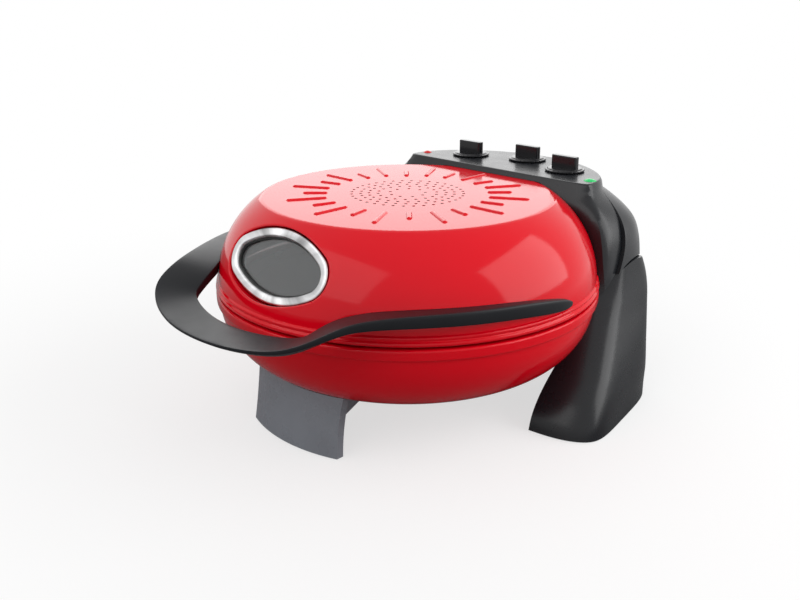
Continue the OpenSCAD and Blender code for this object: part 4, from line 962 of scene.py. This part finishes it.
mirrored.inputs["From Min"].default_value, mirrored.inputs["From Max"].default_value = 0.55, 1.3
links.new(reach.outputs["Value"], mirrored.inputs["Value"])
rays = nodes.new("ShaderNodeLightPath")
tone = nodes.new("ShaderNodeMapRange")
tone.inputs["To Min"].default_value, tone.inputs["To Max"].default_value = 0.3, 0.95
links.new(rays.outputs["Is Camera Ray"], tone.inputs["Value"])
links.new(tone.outputs["Result"], matt.inputs["Base Color"])
seen = nodes.new("ShaderNodeMath")
seen.operation = "MULTIPLY"
links.new(fade.outputs["Result"], seen.inputs[0])
links.new(rays.outputs["Is Camera Ray"], seen.inputs[1])
both = nodes.new("ShaderNodeMath")
both.operation = "MULTIPLY_ADD"
links.new(mirrored.outputs["Result"], both.inputs[0])
links.new(any_of(nodes, links, rays, "Is Glossy Ray", "Is Transmission Ray"), both.inputs[1])
links.new(seen.outputs[0], both.inputs[2])
white = nodes.new("ShaderNodeEmission")
mix = nodes.new("ShaderNodeMixShader")
links.new(both.outputs[0], mix.inputs["Fac"])
links.new(matt.outputs["BSDF"], mix.inputs[1])
links.new(white.outputs["Emission"], mix.inputs[2])
links.new(mix.outputs["Shader"], nodes["Material Output"].inputs["Surface"])
floor_mesh.materials.append(paper)
world = bpy.data.worlds.new("white room")
bpy.context.scene.world = world
world.use_nodes = True
nodes, links = world.node_tree.nodes, world.node_tree.links
sky = nodes["Background"]
sky.inputs["Color"].default_value = (1, 1, 1, 1)
rays = nodes.new("ShaderNodeLightPath")
level = nodes.new("ShaderNodeMapRange")
level.inputs["To Min"].default_value = 0.55
level.inputs["To Max"].default_value = 1.0
links.new(any_of(nodes, links, rays, "Is Camera Ray", "Is Glossy Ray", "Is Transmission Ray"),
          level.inputs["Value"])
links.new(level.outputs["Result"], sky.inputs["Strength"])
print("floor:", paper.name, "world:", world.name)


# %% Lights and camera
def soft_box(name, place, target, size, power):
    lamp = bpy.data.lights.new(name, "AREA")
    lamp.shape, lamp.size, lamp.size_y, lamp.energy = "RECTANGLE", *size, power
    box = bpy.data.objects.new(name, lamp)
    bpy.context.scene.collection.objects.link(box)
    box.location = place
    box.rotation_euler = (Vector(target) - Vector(place)).to_track_quat("-Z", "Y").to_euler()
    box.visible_camera = False
    return box


soft_box("key", (1.15, 0.75, 0.75), (0, 0, 0.15), (1.4, 1.1), 14)
soft_box("fill", (-0.3, -1.6, 1.3), (0, 0, 0.12), (2.2, 1.4), 12)
soft_box("sheen", (-1.25, 1.35, 0.85), (0, 0, 0.2), (2.0, 1.0), 8)
camera = bpy.data.objects.new("camera", bpy.data.cameras.new("camera"))
bpy.context.scene.collection.objects.link(camera)
camera.location = (0.6143, -0.6328, 0.4146)
camera.rotation_euler = (Vector((0, 0, 0.121)) - camera.location).to_track_quat("-Z", "Y").to_euler()
camera.data.lens, camera.data.sensor_width = 41.32, 36
camera.data.shift_x, camera.data.shift_y = -0.0095, -0.0257
bpy.context.scene.camera = camera
bpy.context.scene.view_settings.view_transform = "Standard"
